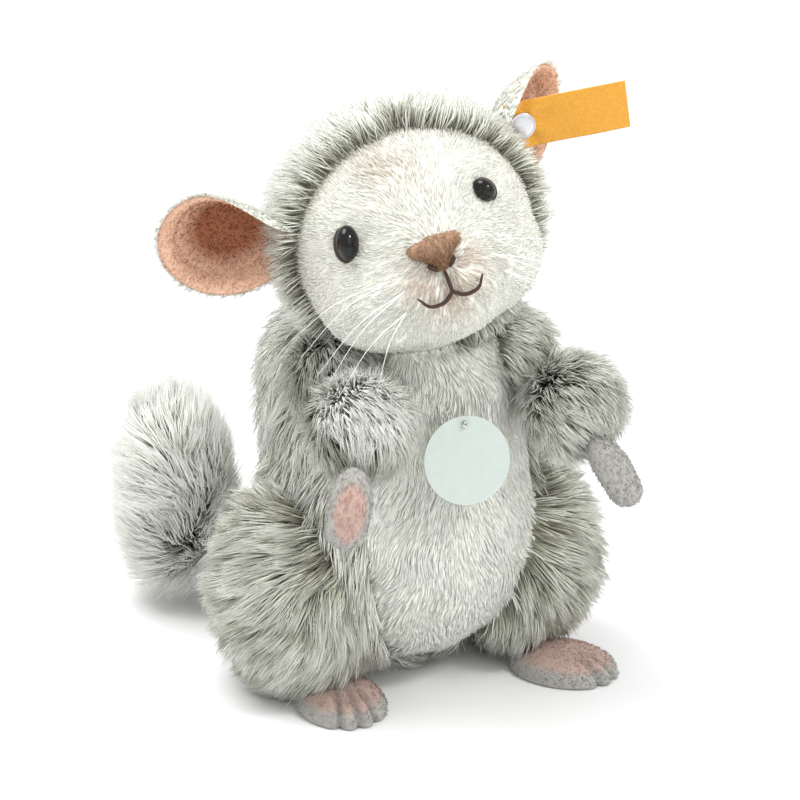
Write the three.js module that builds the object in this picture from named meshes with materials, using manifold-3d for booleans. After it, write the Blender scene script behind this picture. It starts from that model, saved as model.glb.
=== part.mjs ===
// A stuffed toy chinchilla that sits upright with its head cocked and its bushy tail curled up behind it.
// Each sewn piece of the toy is one mesh: plush sleeves, thighs, crown and tail, a short-pile face and belly,
// velour ears, hands and feet, button eyes, stitched nose and mouth, nylon whiskers, a ribbon tag held by a
// stud in the left ear, and a round card on the chest.
// Millimetres, +Z up. The toy looks along -Y, its left side is +X, and the origin is the middle of its seat.
import * as THREE from "three";
import { mergeVertices } from "three/addons/utils/BufferGeometryUtils.js";
import Module from "manifold-3d";

const wasm = await Module();
wasm.setup();

// Driving dimensions
const SEAM_GAP = 0.3;
const PLUSH = { depth: 5, tip: -0.3, length: 38, halfWidth: 7, thickness: 1.8, spacing: 19.5 };
const SEAT = { y: 3, height: 58, halfWidth: 59, halfDepth: 56, halfHeight: 60 };
const CHEST = { y: 8, height: 112, halfWidth: 52, halfDepth: 54, halfHeight: 48 };
const BELLY = { x: 6, height: 72, halfWidth: 36, halfHeight: 68, back: -18 };
const HEAD = { x: -5, y: -13, z: 175, halfWidth: 50, halfDepth: 48, halfHeight: 48 };
const HEAD_TURN = { yaw: -17, pitch: 18, roll: 19 };
const FACE_SEAM = { back: 60, radius: 90, up: 22 };
const EYE = { radius: 7, apart: 51, up: 4, sunk: 3.6 };
const NOSE = { width: 18, height: 10, up: -10 };
const EAR = { length: 52, halfWidth: 25, cup: 10, hem: 6, sheet: 1.7 };
const ARM = { shoulderX: 34, cuffRadius: 20 };
const HAND = { length: 30, halfWidth: 8.5, halfThickness: 6 };
const LEG = { x: 43, y: -2, halfWidth: 37, halfDepth: 42, halfHeight: 45 };
const FOOT = { length: 44, halfWidth: 17, height: 10, toeSeam: 0.9 };
const TAIL = { plumeRadius: 27, plumeHeight: 90 };
const CARD = { radius: 16, thickness: 0.8, hole: 1.3 };
const TIE = { radius: 0.6, length: 5 };
const RIBBON = { length: 45, width: 17.5, thickness: 0.8, behind: 6 };
const STUD = { radius: 4.8, height: 1.8, shank: 1.1 };
const WHISKER = { root: 0.45, tip: 0.14, bead: 1 };
const THREAD = 0.6;

const radians = (degrees) => THREE.MathUtils.degToRad(degrees);
const point = (x, y, z) => new THREE.Vector3(x, y, z);
const sides = { right: -1, left: 1 };

// A pad of stuffing: about how far p is outside an ellipsoid, which may be turned
function pad(centre, radii, turn = new THREE.Euler()) {
  const back = new THREE.Matrix4().makeRotationFromEuler(turn).invert();
  return (p) => {
    const q = p.clone().sub(centre).applyMatrix4(back).divide(radii);
    const reach = q.length();
    const slope = q.divide(radii).length();
    return slope === 0 ? -Math.min(...radii) : (reach * (reach - 1)) / slope;
  };
}

// Several pads under one cloth, which rounds the hollows between them over a width of blend
function stuffed(blend, ...pads) {
  return (p) =>
    pads
      .map((f) => f(p))
      .reduce((a, b) => {
        const near = Math.max(blend - Math.abs(a - b), 0) / blend;
        return Math.min(a, b) - (near * near * blend) / 4;
      });
}

// Where the cloth over a form lies along way from its centre, raised by grow
function clothAt(form, way, grow = 0) {
  const spot = form.centre.clone().addScaledVector(way, form.reach);
  for (let step = 0; step < 40; step++) {
    const out = form.field(spot) - grow;
    spot.addScaledVector(way, -out * 0.9);
    if (Math.abs(out) < 0.002) break;
  }
  return spot;
}

function solid(geometry) {
  const bare = new THREE.BufferGeometry().setAttribute("position", geometry.getAttribute("position"));
  const closed = mergeVertices(geometry.index ? bare.setIndex(geometry.index) : bare, 1e-4);
  return new wasm.Manifold(
    new wasm.Mesh({
      numProp: 3,
      vertProperties: new Float32Array(closed.attributes.position.array),
      triVerts: new Uint32Array(closed.index.array),
    }),
  );
}

// A ball drawn in or out until it lies on the form's cloth, then moved by what deeper says of each spot
function cover(form, grow = 0, deeper = () => 0) {
  const ball = new THREE.IcosahedronGeometry(1, form.detail).deleteAttribute("normal").deleteAttribute("uv");
  const geometry = mergeVertices(ball, 1e-4);
  const spots = geometry.getAttribute("position");
  for (let i = 0; i < spots.count; i++) {
    const way = new THREE.Vector3().fromBufferAttribute(spots, i).normalize();
    const spot = clothAt(form, way, grow);
    spot.copy(clothAt(form, way, grow + deeper(spot)));
    spots.setXYZ(i, spot.x, spot.y, spot.z);
  }
  return solid(geometry);
}

const placed = (geometry, matrix) => solid(geometry.clone().applyMatrix4(matrix));
const ballAt = (centre, radius, detail) =>
  placed(new THREE.IcosahedronGeometry(radius, detail), new THREE.Matrix4().setPosition(centre));
const floor = placed(new THREE.BoxGeometry(600, 600, 100), new THREE.Matrix4().makeTranslation(0, 0, -50));

// A closed skin from one end point through rings of spots to the other end point
function loft(start, rings, end) {
  const around = rings[0].length;
  const last = 1 + rings.length * around;
  const faces = [];
  for (let i = 0; i < around; i++) {
    const next = (i + 1) % around;
    faces.push(0, 1 + next, 1 + i, last, last - around + i, last - around + next);
    for (let a = 1; a < last - around; a += around) {
      faces.push(a + i, a + next, a + around + next, a + i, a + around + next, a + around + i);
    }
  }
  return solid(new THREE.BufferGeometry().setFromPoints([start, ...rings.flat(), end]).setIndex(faces));
}

// A thread along a curve, with a round section of few sides that narrows from its root to its tip
function strand(curve, segments, around, root, tip = root) {
  const { normals, binormals } = curve.computeFrenetFrames(segments);
  const rings = normals.map((normal, j) => {
    const radius = THREE.MathUtils.lerp(root, tip, j / segments);
    return Array.from({ length: around }, (_, i) => {
      const angle = (i / around) * Math.PI * 2;
      const spot = curve.getPointAt(j / segments).addScaledVector(normal, Math.cos(angle) * radius);
      return spot.addScaledVector(binormals[j], Math.sin(angle) * radius);
    });
  });
  return loft(curve.getPointAt(0), rings, curve.getPointAt(1));
}
const bend = (...spots) => new THREE.CatmullRomCurve3(spots);

// A round sheet between two skins: at(out, angle, layer) is a spot on layer 0 or 1, out from its middle
function sheet(rings, around, at) {
  const spots = [];
  for (const layer of [0, 1]) {
    spots.push(at(0, 0, layer));
    for (let j = 1; j <= rings; j++) {
      for (let i = 0; i < around; i++) spots.push(at(j / rings, (i / around) * Math.PI * 2, layer));
    }
  }
  const half = spots.length / 2;
  const faces = [];
  for (let i = 0; i < around; i++) {
    const next = (i + 1) % around;
    faces.push(0, 1 + i, 1 + next, half, half + 1 + next, half + 1 + i);
    for (let j = 1; j < rings; j++) {
      const a = 1 + (j - 1) * around;
      const b = a + around;
      faces.push(a + i, b + i, b + next, a + i, b + next, a + next);
      faces.push(half + a + i, half + b + next, half + b + i, half + a + i, half + a + next, half + b + next);
    }
    const rim = 1 + (rings - 1) * around;
    faces.push(rim + i, half + rim + i, half + rim + next, rim + i, half + rim + next, rim + next);
  }
  const geometry = new THREE.BufferGeometry().setFromPoints(spots);
  const made = solid(geometry.setIndex(faces));
  return made.volume() > 0 ? made : solid(geometry.setIndex(faces.toReversed()));
}

// The same random numbers each run
function seeded(seed) {
  let state = seed;
  return () => {
    state = (state + 0x6d2b79f5) | 0;
    let mixed = Math.imul(state ^ (state >>> 15), 1 | state);
    mixed = (mixed + Math.imul(mixed ^ (mixed >>> 7), 61 | mixed)) ^ mixed;
    return ((mixed ^ (mixed >>> 14)) >>> 0) / 4294967296;
  };
}

// One flat, tapered lock of plush: rooted in the core at spot, it follows the cloth along lie, rises to the
// pile's own height and ends in a point. Null where it would reach a neighbour or the floor.
const LOCK_STEPS = [
  { along: 0, width: 0.6, deep: 1.5 },
  { along: 0.3, width: 1, deep: 0.5 },
  { along: 0.6, width: 0.74, deep: 0.1 },
];
function lock(form, spot, lie, size, others) {
  const at = (along, deep) => {
    const way = spot.clone().addScaledVector(lie, size * PLUSH.length * along).sub(form.centre).normalize();
    return { way, spine: clothAt(form, way, THREE.MathUtils.lerp(PLUSH.tip, -PLUSH.depth, deep)) };
  };
  const rings = LOCK_STEPS.map(({ along, width, deep }) => {
    const { way, spine } = at(along, deep);
    const side = new THREE.Vector3().crossVectors(way, lie).normalize();
    const half = size * PLUSH.halfWidth * width;
    const thick = PLUSH.thickness * width;
    return [
      spine.clone().addScaledVector(side, half),
      spine.clone().addScaledVector(way, thick),
      spine.clone().addScaledVector(side, -half),
      spine.clone().addScaledVector(way, -thick),
    ];
  });
  const tip = at(1, 0).spine;
  const stretched = tip.distanceTo(rings[2][0]) > 0.6 * size * PLUSH.length;
  const reached = [tip, ...rings[1], ...rings[2]];
  if (stretched || reached.some((p) => others.some((other) => other(p) < 1.6))) return null;
  const made = loft(at(0, 1.5).spine, rings, tip);
  return made.volume() > 0 ? made : null;
}

// Plush over a form: a core half as deep as the pile, but full out where the floor, a seam or another piece
// presses on it, and locks spread evenly over the rest. Each neighbour tells how far a spot is from it.
function plush(form, { seed, lie, neighbours, spacing = PLUSH.spacing }) {
  const random = seeded(seed);
  const others = [...neighbours, (p) => p.z];
  const nearest = (p) => Math.min(...others.map((other) => other(p)));
  const sunk = (p) => -PLUSH.depth * THREE.MathUtils.smoothstep(nearest(p), 1, 12);
  const roots = [];
  for (let tries = 0; tries < 4000; tries++) {
    const way = new THREE.Vector3(random() - 0.5, random() - 0.5, random() - 0.5);
    if (way.length() > 0.5) continue;
    const spot = clothAt(form, way.normalize(), -PLUSH.depth);
    if (nearest(spot) > 3 && roots.every((root) => root.distanceTo(spot) > spacing)) roots.push(spot);
  }
  const locks = roots.map((spot) => lock(form, spot, lie(spot).normalize(), 0.88 + 0.24 * random(), others));
  return wasm.Manifold.union([cover(form, 0, sunk), ...locks.filter(Boolean)]);
}

// Torso, and the belly panel let into the front of it
const seatPad = pad(point(0, SEAT.y, SEAT.height), point(SEAT.halfWidth, SEAT.halfDepth, SEAT.halfHeight));
const chestRadii = point(CHEST.halfWidth, CHEST.halfDepth, CHEST.halfHeight);
const chestPad = pad(point(0, CHEST.y, CHEST.height), chestRadii);
const torsoForm = { field: stuffed(26, seatPad, chestPad), centre: point(0, 0, 80), reach: 130, detail: 5 };
function bellyCutter(grow) {
  const outline = new THREE.Shape();
  outline.absellipse(0, 0, BELLY.halfWidth + grow, BELLY.halfHeight + grow, 0, Math.PI * 2);
  const through = new THREE.ExtrudeGeometry(outline, { depth: 100, bevelEnabled: false, curveSegments: 20 });
  const upright = new THREE.Matrix4().makeRotationX(Math.PI / 2);
  return placed(through, upright.setPosition(BELLY.x, BELLY.back + grow, BELLY.height));
}

// Head: in its own frame the face looks along -Y
const headTurn = new THREE.Euler(
  radians(-HEAD_TURN.pitch),
  radians(-HEAD_TURN.roll),
  radians(HEAD_TURN.yaw),
  "ZXY",
);
const headFrame = new THREE.Matrix4().makeRotationFromEuler(headTurn).setPosition(HEAD.x, HEAD.y, HEAD.z);
const inHead = (x, y, z) => point(x, y, z).applyMatrix4(headFrame);
const wayInHead = (x, y, z) => point(x, y, z).transformDirection(headFrame);
const headPad = (x, y, z, ...radii) => pad(inHead(x, y, z), point(...radii), headTurn);
const headPads = (x, y, z, ...radii) => [headPad(x, y, z, ...radii), headPad(-x, y, z, ...radii)];
const headForm = {
  field: headPad(0, 0, 0, HEAD.halfWidth, HEAD.halfDepth, HEAD.halfHeight),
  centre: inHead(0, 0, 0),
  reach: 80,
  detail: 5,
};
const faceForm = {
  field: stuffed(
    12,
    headPad(0, -3, 0, HEAD.halfWidth - 3, HEAD.halfDepth - 4, HEAD.halfHeight - 3),
    headPad(0, -33, -14, 21, 20, 17),
    ...headPads(20, -24, -20, 21, 19, 18),
    ...headPads(9, -43, -23, 11, 10, 9),
    headPad(0, -30, -33, 14, 13, 9),
  ),
  centre: inHead(0, -14, -6),
  reach: 80,
  detail: 7,
};
function faceCutter(grow) {
  const inPlace = new THREE.Matrix4().makeTranslation(0, FACE_SEAM.back, FACE_SEAM.up).premultiply(headFrame);
  return placed(new THREE.IcosahedronGeometry(FACE_SEAM.radius + grow, 9), inPlace);
}
// The spot on the face at x across and z up, as seen from the front of the head
function onFace(x, z, raise = 0) {
  const spot = inHead(x, -90, z);
  const back = wayInHead(0, 1, 0);
  for (let step = 0; step < 60; step++) spot.addScaledVector(back, (faceForm.field(spot) - raise) * 0.8);
  return spot;
}

// Eyes, nose, nostrils, mouth and whiskers
function eye(side, grow = 0) {
  const spot = onFace((side * EYE.apart) / 2, EYE.up, -EYE.sunk);
  return ballAt(spot, EYE.radius + grow, 2);
}
function nosePad(grow = 0) {
  const corner = NOSE.width / 2 - 2;
  const top = NOSE.up + NOSE.height / 2 - 2;
  const form = {
    field: stuffed(
      5,
      ...[-corner, 0, corner].map((x) => pad(onFace(x, top), point(3, 3, 2.6))),
      pad(onFace(0, NOSE.up - NOSE.height / 2 + 2), point(2.4, 3, 3)),
      pad(onFace(0, NOSE.up + 1), point(5, 3.2, 4)),
    ),
    centre: onFace(0, NOSE.up),
    reach: 20,
    detail: 2,
  };
  return cover(form, grow);
}
function nostril(side, grow = 0) {
  return ballAt(onFace(side * 4.4, NOSE.up - 3.4, 0.6), 1.5 + grow, 1);
}
function mouthStitch(grow = 0) {
  const line = (...spots) => strand(bend(...spots.map(([x, z]) => onFace(x, z))), 4, 5, THREAD + grow);
  const lip = [0, -24];
  return line([0, -15], [0, -19], lip)
    .add(line(lip, [4, -26.5], [9, -26], [12, -22]))
    .add(line(lip, [-4, -26.5], [-9, -26], [-12, -22]));
}
// Each pair of bristles leaves the cheek at one stitch: root x and z, then how far each tip lies from it
const WHISKERS = {
  right: {
    a: { root: [18, -13], tips: [[40, 2, -7], [38, -1, -13]] },
    b: { root: [15, -18], tips: [[39, 0, -16], [37, -3, -20]] },
    c: { root: [17, -25], tips: [[33, 0, -19], [20, -3, -22]] },
  },
  left: {
    a: { root: [21, -13], tips: [[35, 0, -20], [24, -9, -29]] },
    b: { root: [18, -17], tips: [[36, 2, -28], [31, 0, -33]] },
    c: { root: [20, -24], tips: [[30, 2, -33], [25, -1, -34]] },
  },
};
function whiskers(side, { root, tips }) {
  const [across, up] = root;
  const start = onFace(side * across, up, -1);
  const hairs = tips.map(([x, y, z]) => {
    const tip = start.clone().add(point(side * x, y, z).applyQuaternion(headSpin));
    const middle = start.clone().lerp(tip, 0.5).add(wayInHead(0, -4, 5).multiplyScalar(4));
    return strand(bend(start, middle, tip), 4, 4, WHISKER.root, WHISKER.tip);
  });
  const knot = ballAt(onFace(side * across, up, 0.5), WHISKER.bead, 1);
  return hairs.reduce((a, b) => a.add(b), knot);
}
const headSpin = new THREE.Quaternion().setFromEuler(headTurn);

// Ears: a round cup of cloth from root to tip, its front edge turned over, its hollow looking towards faces
const EARS = {
  right: { root: [-46, -4, 174], tip: [-97, 1, 188], faces: [-0.5, -0.86, -0.1] },
  left: { root: [24, -6, 186], tip: [54, 4, 228], faces: [0.55, -0.83, -0.1] },
};
function earFrame(name) {
  const { root, tip, faces } = EARS[name];
  const along = point(...tip).sub(point(...root)).normalize();
  const front = point(...faces);
  front.addScaledVector(along, -front.dot(along)).normalize();
  const over = new THREE.Vector3().crossVectors(front, along).multiplyScalar(sides[name]);
  return new THREE.Matrix4().makeBasis(along, front, over).setPosition(...root);
}
function earCup(name, shrink, layers) {
  const frame = earFrame(name);
  return sheet(3, 16, (out, angle, layer) => {
    const reach = out * shrink;
    const along = EAR.length * (0.5 + 0.5 * reach * Math.cos(angle));
    const over = Math.sin(angle) * reach;
    const cup = EAR.cup * reach ** 2 + EAR.hem * Math.max(0, over) ** 3;
    const across = EAR.halfWidth * over * (1 - 0.12 * reach ** 2);
    return point(along, cup + layers[layer], across).applyMatrix4(frame);
  });
}

// Arms, hands, legs, feet and tail
const cuffAt = { right: point(-38, -46, 116), left: point(47, -44, 111) };
function armForm(name) {
  const side = sides[name];
  return {
    field: stuffed(
      14,
      pad(point(side * ARM.shoulderX, -16, 124), point(19, 20, 20)),
      pad(cuffAt[name], point(ARM.cuffRadius, ARM.cuffRadius, ARM.cuffRadius + 1)),
    ),
    centre: cuffAt[name].clone().lerp(point(side * ARM.shoulderX, -16, 124), 0.3),
    reach: 60,
    detail: 3,
  };
}
const HANDS = {
  right: { from: [-49, -66, 108], to: [-58, -76, 87] },
  left: { from: [47, -62, 103], to: [55, -76, 84] },
};
function handForm(name) {
  const from = point(...HANDS[name].from);
  const to = point(...HANDS[name].to);
  const centre = from.clone().lerp(to, 0.5);
  const spin = new THREE.Quaternion().setFromUnitVectors(point(0, 0, -1), to.clone().sub(from).normalize());
  const radii = point(HAND.halfWidth, HAND.halfThickness, HAND.length / 2);
  const field = pad(centre, radii, new THREE.Euler().setFromQuaternion(spin));
  return { field, centre, reach: 30, detail: 2 };
}
function legForm(side) {
  const centre = point(side * LEG.x, LEG.y, LEG.halfHeight - 5);
  const field = pad(centre, point(LEG.halfWidth, LEG.halfDepth, LEG.halfHeight));
  return { field, centre, reach: 90, detail: 3 };
}
const FEET = { right: { x: -38, y: -27, turn: -4 }, left: { x: 51, y: -34, turn: 36 } };
function footForm(name) {
  const { x, y, turn } = FEET[name];
  const radii = point(FOOT.halfWidth, FOOT.length / 2, FOOT.height);
  const field = pad(point(x, y, 1), radii, new THREE.Euler(0, 0, radians(turn)));
  return { field, centre: point(x, y, 4), reach: 50, detail: 4 };
}
// The three seams drawn tight over the foot that part its four toes
function toeSeams(name) {
  const form = footForm(name);
  return [-1, 0, 1].map((across) => {
    const spots = [0.1, 0.5, 0.9].map((out) => {
      const way = point(across * FOOT.halfWidth * 0.45, -FOOT.length * 0.5 * out, FOOT.height * (1 - out));
      return clothAt(form, way.applyAxisAngle(point(0, 0, 1), radians(FEET[name].turn)).normalize());
    });
    return strand(bend(...spots), 3, 4, FOOT.toeSeam);
  });
}
const tailForm = {
  field: stuffed(
    20,
    pad(point(-24, 68, 22), point(23, 30, 22)),
    pad(
      point(-55, 94, TAIL.plumeHeight / 2),
      point(TAIL.plumeRadius, TAIL.plumeRadius, TAIL.plumeHeight / 2),
    ),
  ),
  centre: point(-48, 88, 36),
  reach: 90,
  detail: 4,
};

// The ribbon tag and the stud that holds it: x runs along the ribbon and y to the back
const tagFrame = new THREE.Matrix4()
  .makeBasis(point(0.955, -0.25, 0.16), point(0.25, 0.968, 0.02), point(-0.16, 0, 0.987))
  .setPosition(38, -19, 210);
function ribbon(grow = 0) {
  const strip = new THREE.BoxGeometry(
    RIBBON.length + 2 * grow,
    RIBBON.thickness + 2 * grow,
    RIBBON.width + 2 * grow,
    8,
  );
  const spots = strip.getAttribute("position");
  for (let i = 0; i < spots.count; i++) {
    const x = spots.getX(i) + RIBBON.length / 2 - RIBBON.behind;
    spots.setXYZ(i, x, spots.getY(i) + Math.sin(x / 7) * 0.5, spots.getZ(i));
  }
  return placed(strip, tagFrame);
}
function stud(grow = 0) {
  const profile = [
    [0, -6],
    [STUD.shank + grow, -6],
    [STUD.shank + grow, 0.7 - grow],
    [STUD.radius + grow, 0.7 - grow],
    [STUD.radius + grow, 1.2],
    [STUD.radius * 0.7 + grow, STUD.height + grow],
    [0, STUD.height + 0.3 + grow],
  ].map(([x, y]) => new THREE.Vector2(x, y));
  const forwards = new THREE.Matrix4().makeRotationX(Math.PI).premultiply(tagFrame);
  return placed(new THREE.LatheGeometry(profile, 20), forwards);
}

// The round card and the cord that ties it to the chest fur: y runs to the back
const cardFrame = new THREE.Matrix4()
  .makeRotationFromEuler(new THREE.Euler(radians(-14), 0, radians(-8), "ZXY"))
  .setPosition(0, -53.5, 100);
function card() {
  const disc = new THREE.CylinderGeometry(CARD.radius, CARD.radius, CARD.thickness, 40);
  const hole = new THREE.CylinderGeometry(CARD.hole, CARD.hole, 4, 12);
  const top = new THREE.Matrix4().makeTranslation(0, 0, CARD.radius - 3).premultiply(cardFrame);
  return placed(disc, cardFrame).subtract(placed(hole, top));
}
function cardTie() {
  const spot = (y, z) => point(0, y, CARD.radius - 3 + z).applyMatrix4(cardFrame);
  const bead = ballAt(spot(-1.9, 0), 1.5, 1);
  return strand(bend(spot(-1.5, 0), spot(1.5, 0.2), spot(TIE.length, 1.5)), 4, 6, TIE.radius).add(bead);
}

// Colours
const paint = (color, roughness = 0.9, metalness = 0) =>
  new THREE.MeshStandardMaterial({ color, roughness, metalness });
const looks = {
  plush: paint("#b4b2a7"),
  face: paint("#efeee8"),
  belly: paint("#e6e4da"),
  velour: paint("#b9aaa2"),
  peach: paint("#e3a98a"),
  nose: paint("#a77c5c"),
  thread: paint("#3a2620"),
  nylon: paint("#f4f4f2", 0.4),
  glass: paint("#08090b", 0.05),
  ribbon: paint("#f0a81c", 0.7),
  metal: paint("#c9cbce", 0.25, 1),
  paper: paint("#eceee9", 0.6),
};

const group = new THREE.Group();
// Keeps the largest closed surface of a body as one named piece
function piece(name, look, body) {
  const [kept] = body.decompose().sort((a, b) => b.volume() - a.volume());
  const { numProp, numVert, vertProperties, triVerts } = kept.getMesh();
  const spots = new Float32Array(numVert * 3);
  for (let i = 0; i < numVert; i++) spots.set(vertProperties.subarray(i * numProp, i * numProp + 3), i * 3);
  const geometry = new THREE.BufferGeometry().setAttribute("position", new THREE.BufferAttribute(spots, 3));
  const mesh = new THREE.Mesh(geometry.setIndex(new THREE.BufferAttribute(triVerts, 1)), looks[look]);
  mesh.name = name;
  group.add(mesh);
}
const without = (body, ...others) => others.reduce((left, other) => left.subtract(other), body);

const headGrown = cover(headForm, SEAM_GAP);
const faceGrown = cover(faceForm, SEAM_GAP);
const torsoGrown = cover(torsoForm, SEAM_GAP);
const arms = { right: armForm("right"), left: armForm("left") };
const legs = { right: legForm(-1), left: legForm(1) };
const feet = { right: footForm("right"), left: footForm("left") };
const hands = { right: handForm("right"), left: handForm("left") };
const fields = (...forms) => forms.map((form) => form.field);
const limbs = fields(...[arms, legs, feet, hands].flatMap(Object.values));

// How far p is outside the belly panel, seen from the front
function besidePanel(p) {
  const reach = Math.hypot((p.x - BELLY.x) / BELLY.halfWidth, (p.z - BELLY.height) / BELLY.halfHeight);
  return p.y > BELLY.back + 8 ? 99 : (reach - 1) * BELLY.halfWidth;
}
const besideCard = (p) => p.distanceTo(point(0, 0, 0).applyMatrix4(cardFrame)) - CARD.radius;
const aroundBody = [...limbs, ...fields(headForm, faceForm, tailForm), besideCard];
const bodyPlush = (seed, lie, besideSeam) =>
  plush(torsoForm, { seed, lie, neighbours: [...aroundBody, besideSeam] });
const torsoLie = (p) => point(p.x * 0.006, THREE.MathUtils.clamp(p.y / 40, -0.3, 1) * 0.35, -1);
const bellyLie = (p) => point((p.x - BELLY.x) * 0.02, -0.1, -1);
const cutBody = (body) => without(body, headGrown, faceGrown, floor);
const torso = cutBody(bodyPlush(11, torsoLie, besidePanel));
const belly = cutBody(bodyPlush(12, bellyLie, (p) => -besidePanel(p)));
piece("torso", "plush", torso.subtract(bellyCutter(SEAM_GAP)));
piece("belly", "belly", belly.intersect(bellyCutter(0)));

const sockets = [eye(-1, SEAM_GAP), eye(1, SEAM_GAP), nosePad(SEAM_GAP), mouthStitch(SEAM_GAP)];
const nostrilSockets = [nostril(-1, SEAM_GAP), nostril(1, SEAM_GAP)];
const inFront = (p) => {
  const local = p.clone().applyMatrix4(headFrame.clone().invert());
  return FACE_SEAM.radius - local.distanceTo(point(0, FACE_SEAM.back, FACE_SEAM.up));
};
const crownLie = (p) => p.clone().sub(inHead(0, -40, -4)).normalize().add(wayInHead(0, 0.4, -0.1));
const earRoots = Object.values(EARS).map(({ root }) => pad(point(...root), point(12, 10, 18)));
const crown = plush(headForm, {
  seed: 13,
  lie: crownLie,
  neighbours: [inFront, ...earRoots, ...fields(torsoForm, ...Object.values(arms))],
});
piece("head", "plush", without(crown.intersect(faceCutter(-SEAM_GAP / 2)), torsoGrown, ...sockets));
piece("face", "face", without(cover(faceForm), faceCutter(SEAM_GAP / 2), ...sockets, ...nostrilSockets));
piece("nose", "nose", without(nosePad(), ...nostrilSockets));
piece("mouth_stitch", "thread", without(mouthStitch(), nosePad(SEAM_GAP), ...nostrilSockets));

const armLie = (name) => (p) => cuffAt[name].clone().add(point(sides[name] * 14, -46, -34)).sub(p);
const legLie = (side) => (p) => p.clone().sub(point(side * 26, -50, 84));
for (const [name, side] of Object.entries(sides)) {
  piece(`eye_${name}`, "glass", eye(side));
  piece(`nostril_${name}`, "thread", nostril(side));
  for (const [pair, set] of Object.entries(WHISKERS[name])) {
    piece(`whiskers_${name}_${pair}`, "nylon", whiskers(side, set).subtract(faceGrown));
  }
  const body = fields(torsoForm, headForm, faceForm, tailForm);
  const arm = plush(arms[name], {
    seed: 20 + side,
    lie: armLie(name),
    spacing: 15.5,
    neighbours: [...body, ...fields(hands[name], legs[name]), besideCard],
  });
  const besideLeg = [...body, ...fields(feet[name])];
  const leg = plush(legs[name], { seed: 30 + side, lie: legLie(side), neighbours: besideLeg });
  piece(`arm_${name}`, "plush", without(arm, torsoGrown, cover(hands[name], SEAM_GAP), headGrown, faceGrown));
  piece(`hand_${name}`, "velour", cover(hands[name]));
  piece(`leg_${name}`, "plush", without(leg, torsoGrown, cover(feet[name], SEAM_GAP), floor));
  piece(`foot_${name}`, "velour", without(cover(feet[name]), floor, torsoGrown, ...toeSeams(name)));
  const tagged = side > 0 ? [ribbon(SEAM_GAP), stud(SEAM_GAP)] : [];
  const cloths = [headGrown, faceGrown, ...tagged];
  piece(`ear_${name}`, "velour", without(earCup(name, 1, [-EAR.sheet, 0]), ...cloths));
  const lining = earCup(name, 0.93, [-SEAM_GAP, EAR.sheet]);
  piece(`ear_lining_${name}`, "peach", without(lining, earCup(name, 1, [-EAR.sheet, SEAM_GAP]), ...cloths));
}

const tailLie = (p) => p.clone().sub(point(-22, 60, 10)).normalize().add(point(0, 0, 0.35));
const tail = plush(tailForm, { seed: 40, lie: tailLie, neighbours: fields(torsoForm, legs.right) });
piece("tail", "plush", without(tail, torsoGrown, cover(legs.right, SEAM_GAP), floor));
piece("ear_tag", "ribbon", without(ribbon(), stud(SEAM_GAP), headGrown));
piece("ear_stud", "metal", stud());
piece("chest_card", "paper", card());
piece("card_tie", "thread", without(cardTie(), torsoGrown));

export default group;
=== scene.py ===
"""A stuffed toy chinchilla in frosted plush, dressed over its solids, in metres, +Z up and facing -Y."""

import math

import bmesh
import bpy
import numpy as np
from mathutils import Euler, Matrix, Vector
from mathutils.kdtree import KDTree


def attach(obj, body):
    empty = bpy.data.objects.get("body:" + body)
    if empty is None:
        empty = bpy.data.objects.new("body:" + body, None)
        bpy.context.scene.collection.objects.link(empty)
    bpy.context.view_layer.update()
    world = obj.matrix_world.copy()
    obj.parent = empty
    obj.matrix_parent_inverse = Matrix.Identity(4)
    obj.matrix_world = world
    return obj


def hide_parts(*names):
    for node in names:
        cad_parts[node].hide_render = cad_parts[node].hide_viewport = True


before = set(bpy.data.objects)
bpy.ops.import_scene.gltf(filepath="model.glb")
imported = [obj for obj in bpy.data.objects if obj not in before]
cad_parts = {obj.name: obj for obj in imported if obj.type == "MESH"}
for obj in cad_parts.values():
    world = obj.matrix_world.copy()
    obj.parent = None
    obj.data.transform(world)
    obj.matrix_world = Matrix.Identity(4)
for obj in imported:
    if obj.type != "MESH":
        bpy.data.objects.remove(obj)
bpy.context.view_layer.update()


# Camera, floor and light: the toy stands on a white sweep in a studio, seen a little from its right and from
# above through a long lens. A big soft light hangs behind it on its right, two weaker ones stand in front,
# and white walls fill in all round.
MM = 0.001
VIEW_AZIMUTH, VIEW_ELEVATION = math.radians(-25), math.radians(20)
VIEW_DISTANCE, VIEW_HEIGHT = 1.2, 0.304
VIEW_ACROSS, VIEW_UP = -0.0011, 0.0988

view_turn = Euler((math.radians(90) - VIEW_ELEVATION, 0, VIEW_AZIMUTH)).to_matrix()
camera = bpy.data.objects.new("studio_camera", bpy.data.cameras.new("studio_camera"))
bpy.context.scene.collection.objects.link(camera)
camera.matrix_world = Matrix.Translation(
    view_turn @ Vector((VIEW_ACROSS, VIEW_UP, VIEW_DISTANCE))
) @ view_turn.to_4x4()
camera.data.sensor_width = 36
camera.data.lens = 36 * VIEW_DISTANCE / VIEW_HEIGHT
camera.data.clip_start = 0.05
bpy.context.scene.camera = camera


def plain_material(name, colour, roughness, metallic=0.0):
    """A node material whose Principled shader starts with these values."""
    material = bpy.data.materials.new(name)
    material.use_nodes = True
    shader = material.node_tree.nodes["Principled BSDF"]
    shader.inputs["Base Color"].default_value = (*colour, 1)
    shader.inputs["Roughness"].default_value = roughness
    shader.inputs["Metallic"].default_value = metallic
    return material


def mesh_piece(name, spots, faces, material, smooth=True):
    """A new mesh object from spots in millimetres and faces of any length."""
    mesh = bpy.data.meshes.new(name)
    mesh.from_pydata((np.asarray(spots, float) * MM).tolist(), [], [list(map(int, f)) for f in faces])
    mesh.materials.append(material)
    mesh.polygons.foreach_set("use_smooth", [smooth] * len(mesh.polygons))
    mesh.update()
    piece = bpy.data.objects.new(name, mesh)
    bpy.context.scene.collection.objects.link(piece)
    return piece


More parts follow.
